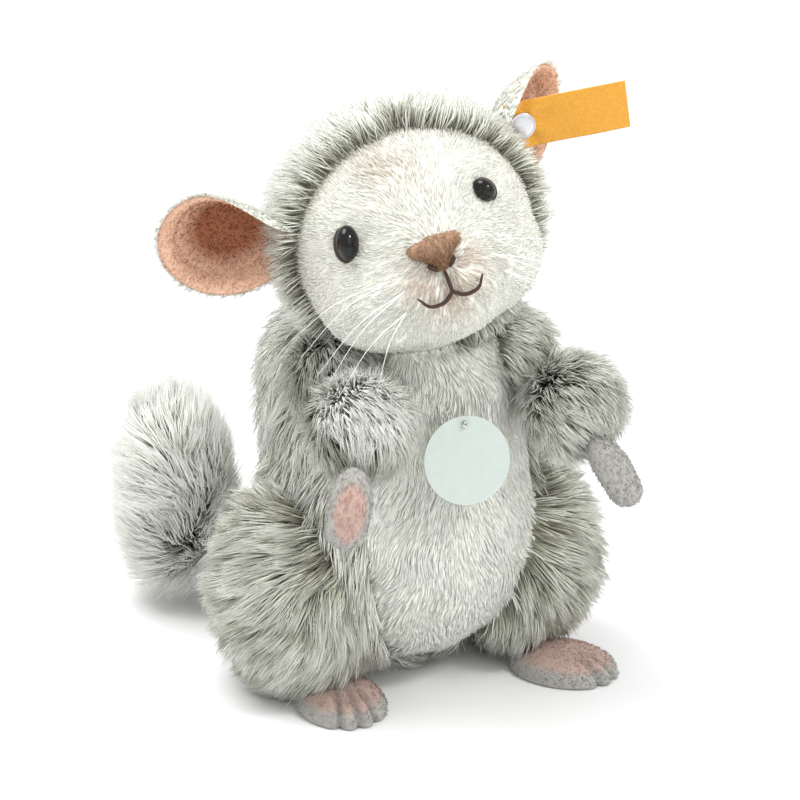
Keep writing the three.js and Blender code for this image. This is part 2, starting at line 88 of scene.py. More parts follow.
sweep_white = plain_material("sweep_white", (0.93, 0.93, 0.935), 0.8)
half = 1600
floor_spots = [(-half, -half, -0.2), (half, -half, -0.2), (half, half, -0.2), (-half, half, -0.2)]
mesh_piece("floor", floor_spots, [(0, 1, 2, 3)], sweep_white)

world = bpy.data.worlds.new("studio_white")
bpy.context.scene.world = world
world.use_nodes = True
world.node_tree.nodes["Background"].inputs["Color"].default_value = (1, 1, 1, 1)
world.node_tree.nodes["Background"].inputs["Strength"].default_value = 0.84
bpy.context.scene.view_settings.view_transform = "Standard"


def soft_light(name, place, target, size, watts):
    light = bpy.data.lights.new(name, "AREA")
    light.shape = "DISK"
    light.size = size
    light.energy = watts
    lamp = bpy.data.objects.new(name, light)
    bpy.context.scene.collection.objects.link(lamp)
    lamp.location = place
    lamp.rotation_euler = (Vector(target) - Vector(place)).to_track_quat("-Z", "Y").to_euler()


soft_light("top_light", (-0.4, 0.25, 1.15), (0, 0, 0.1), 0.8, 10)
soft_light("front_light", (0.2, -1.1, 0.75), (0, 0, 0.1), 0.8, 1.6)
soft_light("key_light", (0.45, -0.7, 0.95), (0, 0, 0.12), 0.22, 5.0)


# Cloth shell: the toy's body is sewn from plush cloth and stuffed, so it is a skin over pads of stuffing
# that run into each other: a pear-shaped trunk, thighs, sleeves, a round head with its muzzle, and the tail.
def turn_of(yaw=0.0, pitch=0.0, roll=0.0):
    """The 3 x 3 turn of a piece that is rolled about Y, then pitched about X, then turned about Z."""
    return np.array(
        Matrix.Rotation(math.radians(yaw), 3, "Z")
        @ Matrix.Rotation(math.radians(pitch), 3, "X")
        @ Matrix.Rotation(math.radians(roll), 3, "Y")
    )


UPRIGHT = turn_of()
HEAD_AT = np.array([-5.0, -13.0, 175.0])
HEAD_TURN = turn_of(yaw=-17, pitch=-18, roll=-19)
HEAD_SIZE = np.array([50.0, 48.0, 48.0])


def in_head(x, y, z):
    return HEAD_AT + HEAD_TURN @ np.array([x, y, z], float)


def head_pad(x, y, z, *radii):
    return in_head(x, y, z), np.array(radii, float), HEAD_TURN


def body_pad(x, y, z, *radii):
    return np.array([x, y, z], float), np.array(radii, float), UPRIGHT


def outside(pads, blend, spots, inset=0.0):
    """How far each spot is outside the cloth over some pads, each pad made smaller by inset."""
    total = None
    for centre, radii, turn in pads:
        small = radii - inset
        local = (spots - centre) @ turn / small
        reach = np.linalg.norm(local, axis=1)
        slope = np.maximum(np.linalg.norm(local / small, axis=1), 1e-9)
        part = reach * (reach - 1) / slope
        if total is None:
            total = part
            continue
        near = np.maximum(blend - np.abs(total - part), 0) / blend
        total = np.minimum(total, part) - near * near * blend / 4
    return total


MUZZLE = [
    head_pad(0, -33, -14, 21, 20, 17),
    head_pad(20, -24, -20, 21, 19, 18),
    head_pad(-20, -24, -20, 21, 19, 18),
    head_pad(9, -43, -23, 11, 10, 9),
    head_pad(-9, -43, -23, 11, 10, 9),
    head_pad(0, -30, -33, 14, 13, 9),
]
# name: pads, blend between them, and the depth of the pile that stands on the cloth
SHELL = {
    "trunk": ([body_pad(0, 3, 58, 59, 56, 60), body_pad(0, 8, 112, 52, 54, 48)], 26, 8.0),
    "head": ([head_pad(0, 0, 0, *HEAD_SIZE)], 1, 8.5),
    "face": ([head_pad(0, -3, 0, 47, 44, 45), *MUZZLE], 12, 2.4),
    "arm_right": ([body_pad(-34, -16, 124, 19, 20, 20), body_pad(-38, -46, 116, 20, 20, 21)], 14, 7.0),
    "arm_left": ([body_pad(34, -16, 124, 19, 20, 20), body_pad(47, -44, 111, 20, 20, 21)], 14, 7.0),
    "leg_right": ([body_pad(-43, -2, 40, 37, 42, 45)], 1, 8.0),
    "leg_left": ([body_pad(43, -2, 40, 37, 42, 45)], 1, 8.0),
    "tail": ([body_pad(-24, 68, 22, 23, 30, 22), body_pad(-55, 94, 45, 27, 27, 45)], 20, 12.0),
}
SEWN_BLEND = 5.0
SHELL_NAMES = list(SHELL)


def on_face(x, z, above=0.0):
    """The spot at x across and z up on the top of the face's pile, seen from the front of the head."""
    spot = in_head(x, -90, z)
    back = HEAD_TURN @ np.array([0, 1.0, 0])
    pads, blend, _ = SHELL["face"]
    for _ in range(60):
        spot = spot + back * (outside(pads, blend, spot[None])[0] - above) * 0.8
    return spot


def path_through(spots, steps=12):
    """A smooth path through a few spots, as a Catmull-Rom spline."""
    spots = np.asarray(spots, float)
    padded = np.vstack([2 * spots[0] - spots[1], spots, 2 * spots[-1] - spots[-2]])
    path = []
    for a, b, c, d in zip(padded, padded[1:], padded[2:], padded[3:]):
        square, cube = 2 * a - 5 * b + 4 * c - d, 3 * b - a - 3 * c + d
        for t in np.arange(steps) / steps:
            path.append(0.5 * (2 * b + (c - a) * t + square * t**2 + cube * t**3))
    return np.array([*path, spots[-1]])


EYES = {"right": on_face(-25.5, 4), "left": on_face(25.5, 4)}
MOUTH_LINES = [
    path_through([on_face(x, z, -0.9) for x, z in line])
    for line in (
        [(0, -24), (0, -19), (0, -13.5)],
        [(0, -24), (4, -26.5), (9, -26), (12, -22)],
        [(0, -24), (-4, -26.5), (-9, -26), (-12, -22)],
    )
]


def nearest(spots, places):
    """How far each spot is from the nearest of some places."""
    return np.min([np.linalg.norm(spots - place, axis=1) for place in places], axis=0)


def shell_parts(spots):
    return np.array([outside(pads, blend, spots, depth) for pads, blend, depth in SHELL.values()])


def shell_field(spots):
    """How far each spot is outside the whole sewn body."""
    parts = shell_parts(spots)
    total = parts[0]
    for part in parts[1:]:
        near = np.maximum(SEWN_BLEND - np.abs(total - part), 0) / SEWN_BLEND
        total = np.minimum(total, part) - near * near * SEWN_BLEND / 4
    sockets = 2.2 * np.exp(-((nearest(spots, list(EYES.values())) / 6.5) ** 2))
    mouth = 1.3 * np.exp(-((nearest(spots, np.vstack(MOUTH_LINES)[::4]) / 2.4) ** 2))
    return total + sockets + mouth


def steepest(field, spots, step=0.4):
    """The unit direction in which a field grows fastest at each spot."""
    rise = np.stack(
        [field(spots + step * axis) - field(spots - step * axis) for axis in np.eye(3)], axis=1
    )
    return rise / np.maximum(np.linalg.norm(rise, axis=1, keepdims=True), 1e-9)


def stuffed_shell(name, material, voxel=1.7):
    """One closed skin over all the pads: balls joined by a voxel remesh, then drawn onto the field."""
    joined = bmesh.new()
    for pads, _, depth in SHELL.values():
        for centre, radii, turn in pads:
            scale = Matrix.Diagonal(Vector(radii - depth)).to_4x4()
            place = Matrix.Translation(Vector(centre)) @ Matrix(turn.tolist()).to_4x4() @ scale
            bmesh.ops.create_icosphere(joined, subdivisions=4, radius=1, matrix=place)
    mesh = bpy.data.meshes.new(name)
    joined.to_mesh(mesh)
    joined.free()
    mesh.transform(Matrix.Scale(MM, 4))
    piece = bpy.data.objects.new(name, mesh)
    bpy.context.scene.collection.objects.link(piece)
    remesh = piece.modifiers.new("one_skin", "REMESH")
    remesh.mode = "VOXEL"
    remesh.voxel_size = voxel * MM
    remesh.use_smooth_shade = True
    graph = bpy.context.evaluated_depsgraph_get()
    skin = bpy.data.meshes.new_from_object(piece.evaluated_get(graph))
    piece.modifiers.clear()
    piece.data = skin
    spots = np.empty(len(skin.vertices) * 3)
    skin.vertices.foreach_get("co", spots)
    spots = spots.reshape(-1, 3) / MM
    for _ in range(5):
        spots -= steepest(shell_field, spots) * (shell_field(spots) * 0.8)[:, None]
    spots[:, 2] = np.maximum(spots[:, 2], 0.3)
    skin.vertices.foreach_set("co", (spots * MM).ravel())
    skin.materials.clear()
    skin.materials.append(material)
    skin.update()
    return piece


def seam_side(spots):
    """Positive on the face panel and negative on the crown: the seam lies on a ball that bulges forwards."""
    local = (spots - HEAD_AT) @ HEAD_TURN
    return np.linalg.norm(local - np.array([0, 60, 22]), axis=1) - 90


def white_share(spots):
    """1 on the belly panel and the face, 0 on the grey plush, with a soft edge between them."""
    parts = shell_parts(spots)
    on_head = np.minimum(parts[1], parts[2]) < parts[0] - 1
    panel = 1 - (((spots[:, 0] - 6) / 38) ** 2 + ((spots[:, 2] - 74) / 80) ** 2)
    on_trunk = parts.argmin(axis=0) == 0
    belly = np.clip(panel * 9, 0, 1) * on_trunk * (spots[:, 1] < -12)
    face = np.clip(seam_side(spots) / 1.5 + 0.5, 0, 1)
    return np.where(on_head, face, belly)


def set_attribute(mesh, name, values):
    mesh.attributes.new(name, "FLOAT", "POINT").data.foreach_set("value", np.asarray(values, np.float32))


def dye(piece, along, tint, white):
    """Gives a cloth its place on the fibre, its tint and its share of the second dye."""
    count = len(piece.data.vertices)
    for name, values in (("along", along), ("tint", tint), ("white", white)):
        set_attribute(piece.data, name, np.broadcast_to(values, count))


def cloth_of(piece):
    """The spots and triangles of a piece, in millimetres, to grow pile on."""
    mesh = piece.data
    mesh.calc_loop_triangles()
    spots, triangles = np.empty(len(mesh.vertices) * 3), np.empty(len(mesh.loop_triangles) * 3, np.int32)
    mesh.vertices.foreach_get("co", spots)
    mesh.loop_triangles.foreach_get("vertices", triangles)
    return spots.reshape(-1, 3) / MM, triangles.reshape(-1, 3)


# The pile's colour, used by the cloth and by every tuft: each dyed cloth goes from a root colour to a tip
# colour, a second dye takes its place where the piece says, and some locks are darker than the rest.
def add_node(tree, kind, **values):
    """A shader node whose named inputs start with these values. An underscore stands for a space."""
    node = tree.nodes.new(f"ShaderNode{kind}")
    for socket, value in values.items():
        node.inputs[socket.replace("_", " ")].default_value = value
    return node


def group_with(name, **sockets):
    """A node group, its first node and its last. A socket is a type for an input, or OUT and a type."""
    group = bpy.data.node_groups.new(name, "ShaderNodeTree")
    for socket, kind in sockets.items():
        way = "OUTPUT" if kind.startswith("OUT") else "INPUT"
        group.interface.new_socket(socket, in_out=way, socket_type=f"NodeSocket{kind.removeprefix('OUT ')}")
    return group, group.nodes.new("NodeGroupInput"), group.nodes.new("NodeGroupOutput")


def dyed_group(name, stops, dark_stops, second_stops):
    """A node group that gives a fibre's colour from how far along it is and from its lock's own tint."""
    group, given, result = group_with(name, Along="Float", Tint="Float", White="Float", Colour="OUT Color")
    links = group.links

    def ramp(stops):
        node = add_node(group, "ValToRGB")
        elements = node.color_ramp.elements
        while len(elements) < len(stops):
            elements.new(0.5)
        for element, (place, colour) in zip(elements, stops):
            element.position = place
            element.color = (*colour, 1)
        links.new(given.outputs["Along"], node.inputs["Fac"])
        return node.outputs["Color"]

    def mix(factor, first, second):
        node = add_node(group, "Mix")
        node.data_type = "RGBA"
        links.new(factor, node.inputs["Factor"])
        links.new(first, node.inputs["A"])
        links.new(second, node.inputs["B"])
        return node.outputs["Result"]

    main = mix(given.outputs["Tint"], ramp(stops), ramp(dark_stops))
    links.new(mix(given.outputs["White"], main, ramp(second_stops)), result.inputs["Colour"])
    return group


def dyed_material(name, group, roughness=0.85, grain=0.0):
    """A cloth or fibre that takes its colour from a dyed group, with a fine bump where it is short pile."""
    material = plain_material(name, (0.8, 0.8, 0.8), roughness)
    nodes, links = material.node_tree.nodes, material.node_tree.links
    shader = nodes["Principled BSDF"]
    shader.inputs["Specular IOR Level"].default_value = 0.15
    colour = add_node(material.node_tree, "Group")
    colour.node_tree = group
    for stored_name in ("along", "tint", "white"):
        stored = add_node(material.node_tree, "Attribute")
        stored.attribute_name = stored_name
        links.new(stored.outputs["Fac"], colour.inputs[stored_name.capitalize()])
    links.new(colour.outputs["Colour"], shader.inputs["Base Color"])
    if grain:
        place = add_node(material.node_tree, "TexCoord")
        noise = add_node(material.node_tree, "TexNoise", Scale=1900, Detail=3)
        bump = add_node(material.node_tree, "Bump", Strength=grain, Distance=0.0006)
        links.new(place.outputs["Object"], noise.inputs["Vector"])
        links.new(noise.outputs["Fac"], bump.inputs["Height"])
        links.new(bump.outputs["Normal"], shader.inputs["Normal"])
    return material


frosted_pile = dyed_group(
    "frosted_pile",
    [
        (0, (0.32, 0.32, 0.24)),
        (0.35, (0.62, 0.63, 0.52)),
        (0.65, (0.84, 0.86, 0.76)),
        (0.95, (0.94, 0.95, 0.90)),
    ],
    [
        (0, (0.085, 0.078, 0.053)),
        (0.4, (0.20, 0.19, 0.14)),
        (0.75, (0.44, 0.44, 0.35)),
        (1, (0.82, 0.83, 0.75)),
    ],
    [(0, (0.88, 0.88, 0.79)), (0.5, (0.93, 0.935, 0.87)), (1, (0.955, 0.96, 0.92))],
)
plush_cloth = dyed_material("plush_cloth", frosted_pile, 0.95, grain=0.6)
shell = stuffed_shell("cloth_shell", plush_cloth)
shell_spots, shell_triangles = cloth_of(shell)
dye(shell, 0.15, 0.35, white_share(shell_spots))
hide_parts("torso", "belly", "head", "face", "tail")
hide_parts("arm_right", "arm_left", "leg_right", "leg_left")
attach(shell, "root")


# Pile: the plush is brushed into locks of fibre. Each tuft is a thin spike that is rooted in the cloth,
# leans the way the pile is brushed, and draws together with its neighbours at the tip of the lock's leader.
def cloth_roots(spots, triangles, count, rng):
    """Random roots spread evenly over triangles of a cloth, and the way out of the cloth at each."""
    a, b, c = (spots[triangles[:, i]] for i in range(3))
    across = np.cross(b - a, c - a)
    area = np.linalg.norm(across, axis=1)
    picked = rng.choice(len(triangles), count, p=area / area.sum())
    u, v = rng.random(count), rng.random(count)
    flip = u + v > 1
    u[flip], v[flip] = 1 - u[flip], 1 - v[flip]
    return a[picked] + (b - a)[picked] * u[:, None] + (c - a)[picked] * v[:, None], unit(across[picked])


def unit(vectors):
    return vectors / np.maximum(np.linalg.norm(vectors, axis=-1, keepdims=True), 1e-9)


def drift(spots, size, seed):
    """A smooth random value for each spot, about -1 to 1, that changes over a distance of size."""
    rng = np.random.default_rng(seed)
    total = np.zeros(len(spots))
    for _ in range(6):
        way = unit(rng.normal(size=3))
        total += np.sin(spots @ way * (2 * math.pi / size) * rng.uniform(0.6, 1.6) + rng.uniform(0, 7))
    return total / 2.6


def grid_places(unwrap, cell=0.003):
    """A place of its own for each tuft on the unwrap of the cloth: the nearest free cell to its root."""
    wide = int(1 / cell)
    cells = np.clip((unwrap * wide).astype(int), 0, wide - 1)
    taken, places = set(), []
    for x, y in cells.tolist():
        for ring in range(12):
            free = next(
                (
                    (i, j)
                    for i in range(x - ring, x + ring + 1)
                    for j in (range(y - ring, y + ring + 1) if abs(i - x) == ring else (y - ring, y + ring))
                    if 0 <= i < wide and 0 <= j < wide and (i, j) not in taken
                ),
                None,
            )
            if free:
                break
        free = free or (x, y)
        taken.add(free)
        places.append(free)
    return np.array(places) * cell


def lock_leaders(roots, in_a_lock, rng):
    """For each tuft the number of the tuft that leads its lock."""
    leaders = rng.choice(len(roots), max(1, int(len(roots) / in_a_lock)), replace=False)
    tree = KDTree(len(leaders))
    for leader in leaders.tolist():
        tree.insert(roots[leader], leader)
    tree.balance()
    return np.array([tree.find(root)[1] for root in roots.tolist()])


TUFT_RING = np.array([[-1, 0], [1, 0], [0, 0.8]])
TUFT_FOOT = [(0, 2, 1), (0, 1, 4), (0, 4, 3), (1, 2, 5), (1, 5, 4), (2, 0, 3), (2, 3, 5)]
TUFT_TIP = [(3, 4, 6), (4, 5, 6), (5, 3, 6)]
TUFT_FACES = np.array(TUFT_FOOT + TUFT_TIP)
TUFT_ALONG = np.array([0, 0, 0, 0.5, 0.5, 0.5, 1.0])


def pile(
    name, material, roots, normals, lie, unwrap, rng, length, width, lift, dark, white, in_a_lock, mottle=1.0
):
    """Tufts joined in one mesh. lift is 1 for upright pile and 0 for pile that lies flat along lie."""
    count = len(roots)
    lengths = length * rng.uniform(0.75, 1.15, count)[:, None]
    lifts = np.clip(lift + drift(roots, 18, 31) * 0.1 + rng.normal(size=count) * 0.05, 0.08, 0.96)[:, None]
    lie = unit(lie - normals * np.sum(lie * normals, axis=1, keepdims=True))
    start = unit(normals * lifts + lie * (1 - lifts) + rng.normal(size=(count, 3)) * (0.04 + 0.18 * lift))
    end = unit(start + lie * 0.6 - normals * 0.4 * lifts + rng.normal(size=(count, 3)) * 0.1)
    middle = roots + start * lengths * 0.5
    tip = roots + (start * 0.5 + end * 0.5) * lengths
    leader = lock_leaders(roots, in_a_lock, rng)
    middle += (middle[leader] - middle) * 0.2
    tip += (tip[leader] - tip) * rng.uniform(0.35, 0.7, count)[:, None]
    side = unit(np.cross(start, normals + rng.normal(size=(count, 3)) * 0.3))
    flat = unit(np.cross(side, start))
    half = width * 0.5 * rng.uniform(0.7, 1.25, count)[:, None]
    foot = roots - start * min(1.2, 0.3 * length)
    rings = [
        spine + side * half * taper * x + flat * half * taper * y
        for spine, taper in ((foot, 1.0), (middle, 0.85))
        for x, y in TUFT_RING
    ]
    spots = np.stack([*rings, tip], axis=1)
    spots[:, :, 2] = np.maximum(spots[:, :, 2], 0.25)
    per_tuft = spots.shape[1]
    corners = (TUFT_FACES[None] + np.arange(count)[:, None, None] * per_tuft).reshape(-1)
    mesh = bpy.data.meshes.new(name)
    mesh.vertices.add(count * per_tuft)
    mesh.vertices.foreach_set("co", (spots * MM).astype(np.float32).ravel())
    mesh.loops.add(len(corners))
    mesh.loops.foreach_set("vertex_index", corners.astype(np.int32))
    mesh.polygons.add(count * len(TUFT_FACES))
    mesh.polygons.foreach_set("loop_start", np.arange(count * len(TUFT_FACES), dtype=np.int32) * 3)
    mesh.materials.append(material)
    mesh.update(calc_edges=True)
    mesh.polygons.foreach_set("use_smooth", [True] * len(mesh.polygons))
    mottling = 0.3 * drift(roots, 13, 57) + 0.3 * rng.normal(size=count)[leader]
    tint = dark + mottle * (mottling + 0.15 * rng.normal(size=count))
    set_attribute(mesh, "along", np.tile(TUFT_ALONG, count))
    set_attribute(mesh, "tint", np.repeat(np.clip(tint, 0, 1), per_tuft))
    set_attribute(mesh, "white", np.repeat(np.broadcast_to(white, count), per_tuft))
    patch = np.stack([np.array([0.1, 0.9, 0.5] * 2 + [0.5]), TUFT_ALONG * 0.9 + 0.05], axis=1) * 0.0028
    spread = (grid_places(unwrap)[:, None] + patch[None])[:, TUFT_FACES.ravel()].reshape(-1, 2)
    bake = mesh.uv_layers.new(name="OFBake")
    bake.data.foreach_set("uv", spread.astype(np.float32).ravel())
    piece = bpy.data.objects.new(name, mesh)
    bpy.context.scene.collection.objects.link(piece)
    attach(piece, "root")
    return piece


def around(spots, centre, radius):
    """Unwraps cloth round an upright axis through centre: the way round, and the height."""
    local = spots - centre
    turn = np.arctan2(local[:, 1], local[:, 0]) / (2 * math.pi) + 0.5
    height = local[:, 2] / (2 * radius) + 0.5
    return np.clip(np.stack([turn, height], axis=1), 0, 0.997)


triangle_middles = shell_spots[shell_triangles].mean(axis=1)
middle_parts = shell_parts(triangle_middles)
middle_owner = middle_parts.argmin(axis=0)
middle_seam = seam_side(triangle_middles)
middle_white = white_share(triangle_middles)
is_head = (middle_owner == 1) | (middle_owner == 2)
seated = triangle_middles[:, 2] > 2.5


def owned_by(*names):
    return np.isin(middle_owner, [SHELL_NAMES.index(name) for name in names]) & seated


def toward(spots, place):
    return unit(np.asarray(place, float) - spots)


def away(spots, place):
    return -toward(spots, place)


def trunk_lie(spots):
    back = np.clip(spots[:, 1] / 40, -0.3, 1)
    down = np.full(len(spots), -1.0)
    return unit(np.stack([spots[:, 0] * 0.004, back * 0.35, down], axis=1))


def belly_lie(spots):
    down = np.full(len(spots), -1.0)
    return unit(np.stack([(spots[:, 0] - 4) * 0.02, down * 0.1, down], axis=1))


def leg_lie(side):
    return lambda spots: away(spots, (side * 26, -50, 84))


def arm_lie(side, cuff):
    def lie(spots):
        return toward(spots, np.array(cuff) + np.array([side * 14, -46, -34]))

    return lie


def tail_lie(spots):
    raised = np.clip((spots[:, 1:2] - 60) / 40, 0, 1)
    return unit(away(spots, (-18, 32, 14)) + raised * np.array([-0.1, 0.1, 1.0]))


def crown_lie(spots):
    front = HEAD_TURN @ np.array([0, -1.0, 0])
    return unit(away(spots, in_head(0, -40, -4)) - front * 0.4 - np.array([0, 0, 0.15]))


def face_lie(spots):
    return away(spots, in_head(0, -62, -8))


# name: cloth it grows on, lie, number, length, width, lift, share of dark locks, and the centre and radius
# of its unwrap
on_trunk = owned_by("trunk")
grey_trunk = on_trunk & (middle_white < 0.5)
on_right = triangle_middles[:, 0] < 0
right_arm_lie, left_arm_lie = arm_lie(-1, (-38, -46, 116)), arm_lie(1, (47, -44, 111))
COATS = {
    "trunk_right": (grey_trunk & on_right, trunk_lie, 11000, 17, 0.56, 0.3, 0.24, (0, 0, 75), 80),
    "trunk_left": (grey_trunk & ~on_right, trunk_lie, 11000, 17, 0.56, 0.3, 0.24, (0, 0, 75), 80),
    "belly": (on_trunk & (middle_white >= 0.5), belly_lie, 12500, 7, 0.5, 0.1, 0.08, (0, 0, 75), 80),
    "leg_right": (owned_by("leg_right"), leg_lie(-1), 16000, 18, 0.56, 0.25, 0.36, (-43, 0, 40), 50),
    "leg_left": (owned_by("leg_left"), leg_lie(1), 13000, 17, 0.56, 0.25, 0.36, (43, 0, 40), 50),
    "arm_right": (owned_by("arm_right"), right_arm_lie, 9500, 13, 0.55, 0.5, 0.5, (-38, -40, 118), 30),
    "arm_left": (owned_by("arm_left"), left_arm_lie, 8500, 13, 0.58, 0.5, 0.36, (47, -40, 118), 30),
    "tail": (owned_by("tail"), tail_lie, 16500, 20, 0.56, 0.48, 0.0, (-45, 85, 40), 55),
    "crown": (is_head & (middle_seam < 0), crown_lie, 17500, 12.5, 0.5, 0.68, 0.2, tuple(HEAD_AT), 55),
    "face": (is_head & (middle_seam >= 0), face_lie, 14000, 3.6, 0.38, 0.17, 0.2, tuple(HEAD_AT), 55),
}
BLEACHED = {"tail": 0.98, "trunk_right": 0.45, "trunk_left": 0.45, "arm_left": 0.2}
TUFTS_IN_A_LOCK = {"face": 2, "belly": 3, "leg_right": 14, "leg_left": 14}
pile_fibre = dyed_material("pile_fibre", frosted_pile)
# The face's colours: creamy white, grey towards the crown, and a warm darker pink-brown where dye is
# airbrushed, which on the lower muzzle is also painted shade.
face_dye_and_shade = dyed_group(
    "face_dye_and_shade",
    [(0, (0.85, 0.85, 0.77)), (0.5, (0.87, 0.875, 0.81)), (1, (0.88, 0.885, 0.84))],
    [(0, (0.62, 0.49, 0.39)), (0.5, (0.70, 0.58, 0.48)), (1, (0.75, 0.65, 0.57))],
    [(0, (0.45, 0.43, 0.34)), (0.5, (0.62, 0.61, 0.52)), (1, (0.80, 0.80, 0.73))],
)
face_fibre = dyed_material("face_fibre", face_dye_and_shade)


def blush_and_muzzle_shade(spots):
    """Where airbrushed dye warms the white face: on the forehead, round the nose and on the lips. Round the
    nose, on the lips and under the mouth the warm darker tint is also painted shade on the lower muzzle.
    """
    share = np.zeros(len(spots))
    for x, z, wide, strength in ((-4, 25, 11, 0.5), (-9, -17, 8, 0.95), (9, -17, 8, 0.95), (0, -29, 9, 0.8)):
        share += strength * np.exp(-((np.linalg.norm(spots - on_face(x, z), axis=1) / wide) ** 2))
    return share


bare_spots = np.vstack(MOUTH_LINES)[::3]


def frosting(name, spots):
    """How far the grey dye is bleached to the creamy one: most on the tail and the crown."""
    bleached = BLEACHED.get(name, 0.0)
    if name == "crown":
        bleached = np.clip(-seam_side(spots) / 10, 0, 1) * 0.92
    return np.maximum(white_share(spots), bleached)


for order, (name, spec) in enumerate(COATS.items()):
    cloth, lie_of, count, length, width, lift, dark, centre, radius = spec
    rng = np.random.default_rng(100 + order)
    roots, normals = cloth_roots(shell_spots, shell_triangles[cloth], count, rng)
    if name == "face":
        clear = (nearest(roots, list(EYES.values())) > 4.7) & (nearest(roots, bare_spots) > 1.1)
        roots, normals = roots[clear], normals[clear]
    swirl = drift(roots, 26, 7 + order)[:, None] * unit(np.cross(normals, lie_of(roots))) * 0.35
    whiteness = frosting(name, roots)
    mottle = 0.35 if name == "belly" else 1.0
    if name == "face":
        # On the face the dark share is the blush: airbrushed dye, and round the nose, on the lips and under
        # the mouth also painted shade on the lower muzzle.
        dark, mottle = blush_and_muzzle_shade(roots), 0.15
        whiteness = 0.8 * np.clip(1 - seam_side(roots) / 3.5, 0, 1)
    coat = pile(
        f"pile_{name}", face_fibre if name == "face" else pile_fibre, roots, normals, lie_of(roots) + swirl,
        around(roots, np.array(centre), radius), rng, length, width, lift, dark, whiteness,
        TUFTS_IN_A_LOCK.get(name, 10), mottle,
    )


# Eyes: black glass buttons with a shank, pulled tight into the face so that each sits in a small socket.
# Behind each sits a dark brown rim that shows as a thin edge at its outer side: painted shade where the pile
# parts round the button.
def smooth_over(name, material, field, centre, reach, detail):
    """A closed smooth skin: a fine ball whose spots are drawn onto a field."""
    ball = bmesh.new()
    bmesh.ops.create_icosphere(ball, subdivisions=detail, radius=1)
    ways = np.array([tuple(v.co) for v in ball.verts])
    faces = [[v.index for v in face.verts] for face in ball.faces]
    ball.free()
    spots = centre + ways * reach
    for _ in range(40):
        spots = spots - ways * (field(spots) * 0.85)[:, None]
    spots[:, 2] = np.maximum(spots[:, 2], 0.3)
    piece = mesh_piece(name, spots, faces, material)
    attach(piece, "root")
    return piece


EYE_SUNK = 2.6
EYE_SHAPE = {"right": ((4.0, 5.2, 6.2), 16), "left": ((3.4, 4.6, 4.5), -24)}


def mottle_group():
    """A node group of fine cloudy wear, between two colours and between smooth and rough."""
    group, given, result = group_with(
        "fine_mottle", First="Color", Second="Color", Smooth="Float", Rough="Float", Scale="Float",
        Colour="OUT Color", Roughness="OUT Float",
    )
    links = group.links
    place, cloud = add_node(group, "TexCoord"), add_node(group, "TexNoise", Detail=4)
    links.new(place.outputs["Object"], cloud.inputs["Vector"])
    links.new(given.outputs["Scale"], cloud.inputs["Scale"])
    colour, wear = add_node(group, "Mix"), add_node(group, "MapRange")
    colour.data_type = "RGBA"
    links.new(cloud.outputs["Fac"], colour.inputs["Factor"])
    links.new(given.outputs["First"], colour.inputs["A"])
    links.new(given.outputs["Second"], colour.inputs["B"])
    links.new(cloud.outputs["Fac"], wear.inputs["Value"])
    links.new(given.outputs["Smooth"], wear.inputs["To Min"])
    links.new(given.outputs["Rough"], wear.inputs["To Max"])
    links.new(colour.outputs["Result"], result.inputs["Colour"])
    links.new(wear.outputs["Result"], result.inputs["Roughness"])
    return group


fine_mottle = mottle_group()


def mottled_material(name, first, second, smooth, rough, scale, metallic=0.0):
    """A hard or clear material with fine cloudy wear."""
    material = plain_material(name, first, smooth, metallic)
    nodes, links = material.node_tree.nodes, material.node_tree.links
    mottle = add_node(material.node_tree, "Group")
    mottle.node_tree = fine_mottle
    mottle.inputs["First"].default_value = (*first, 1)
    mottle.inputs["Second"].default_value = (*second, 1)
    for socket, value in (("Smooth", smooth), ("Rough", rough), ("Scale", scale)):
        mottle.inputs[socket].default_value = value
    links.new(mottle.outputs["Colour"], nodes["Principled BSDF"].inputs["Base Color"])
    links.new(mottle.outputs["Roughness"], nodes["Principled BSDF"].inputs["Roughness"])
    return material


eye_glass = mottled_material("eye_glass", (0.004, 0.004, 0.005), (0.009, 0.007, 0.006), 0.02, 0.06, 300)
eye_glass.node_tree.nodes["Principled BSDF"].inputs["Specular IOR Level"].default_value = 0.36
# A dark brown rim behind each button, showing as a thin edge at its outer side, is painted shade where the
# pile parts round it.
eye_shade_rim = mottled_material("eye_shade_rim", (0.024, 0.017, 0.013), (0.055, 0.042, 0.032), 0.88, 1.0, 1500)
for side, across in (("right", -1), ("left", 1)):
    radii, tilt = EYE_SHAPE[side]
    turn = HEAD_TURN @ turn_of(yaw=across * 14, roll=tilt)
    centre = on_face(across * 25.5, 4, -EYE_SUNK)
    button = [(centre, np.array(radii), turn)]
    eye = smooth_over(
        f"eye_button_{side}", eye_glass, lambda spots: outside(button, 1, spots), centre, 12, 5
    )
    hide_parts(f"eye_{side}")
    behind = centre + turn @ np.array([across * 0.7, 1.4, -0.6])
    shade_rim_pad = [(behind, np.array(radii) + np.array([0.5, -0.8, 0.4]), turn)]
    smooth_over(f"eye_shade_rim_{side}", eye_shade_rim, lambda spots: outside(shade_rim_pad, 1, spots), behind, 14, 4)


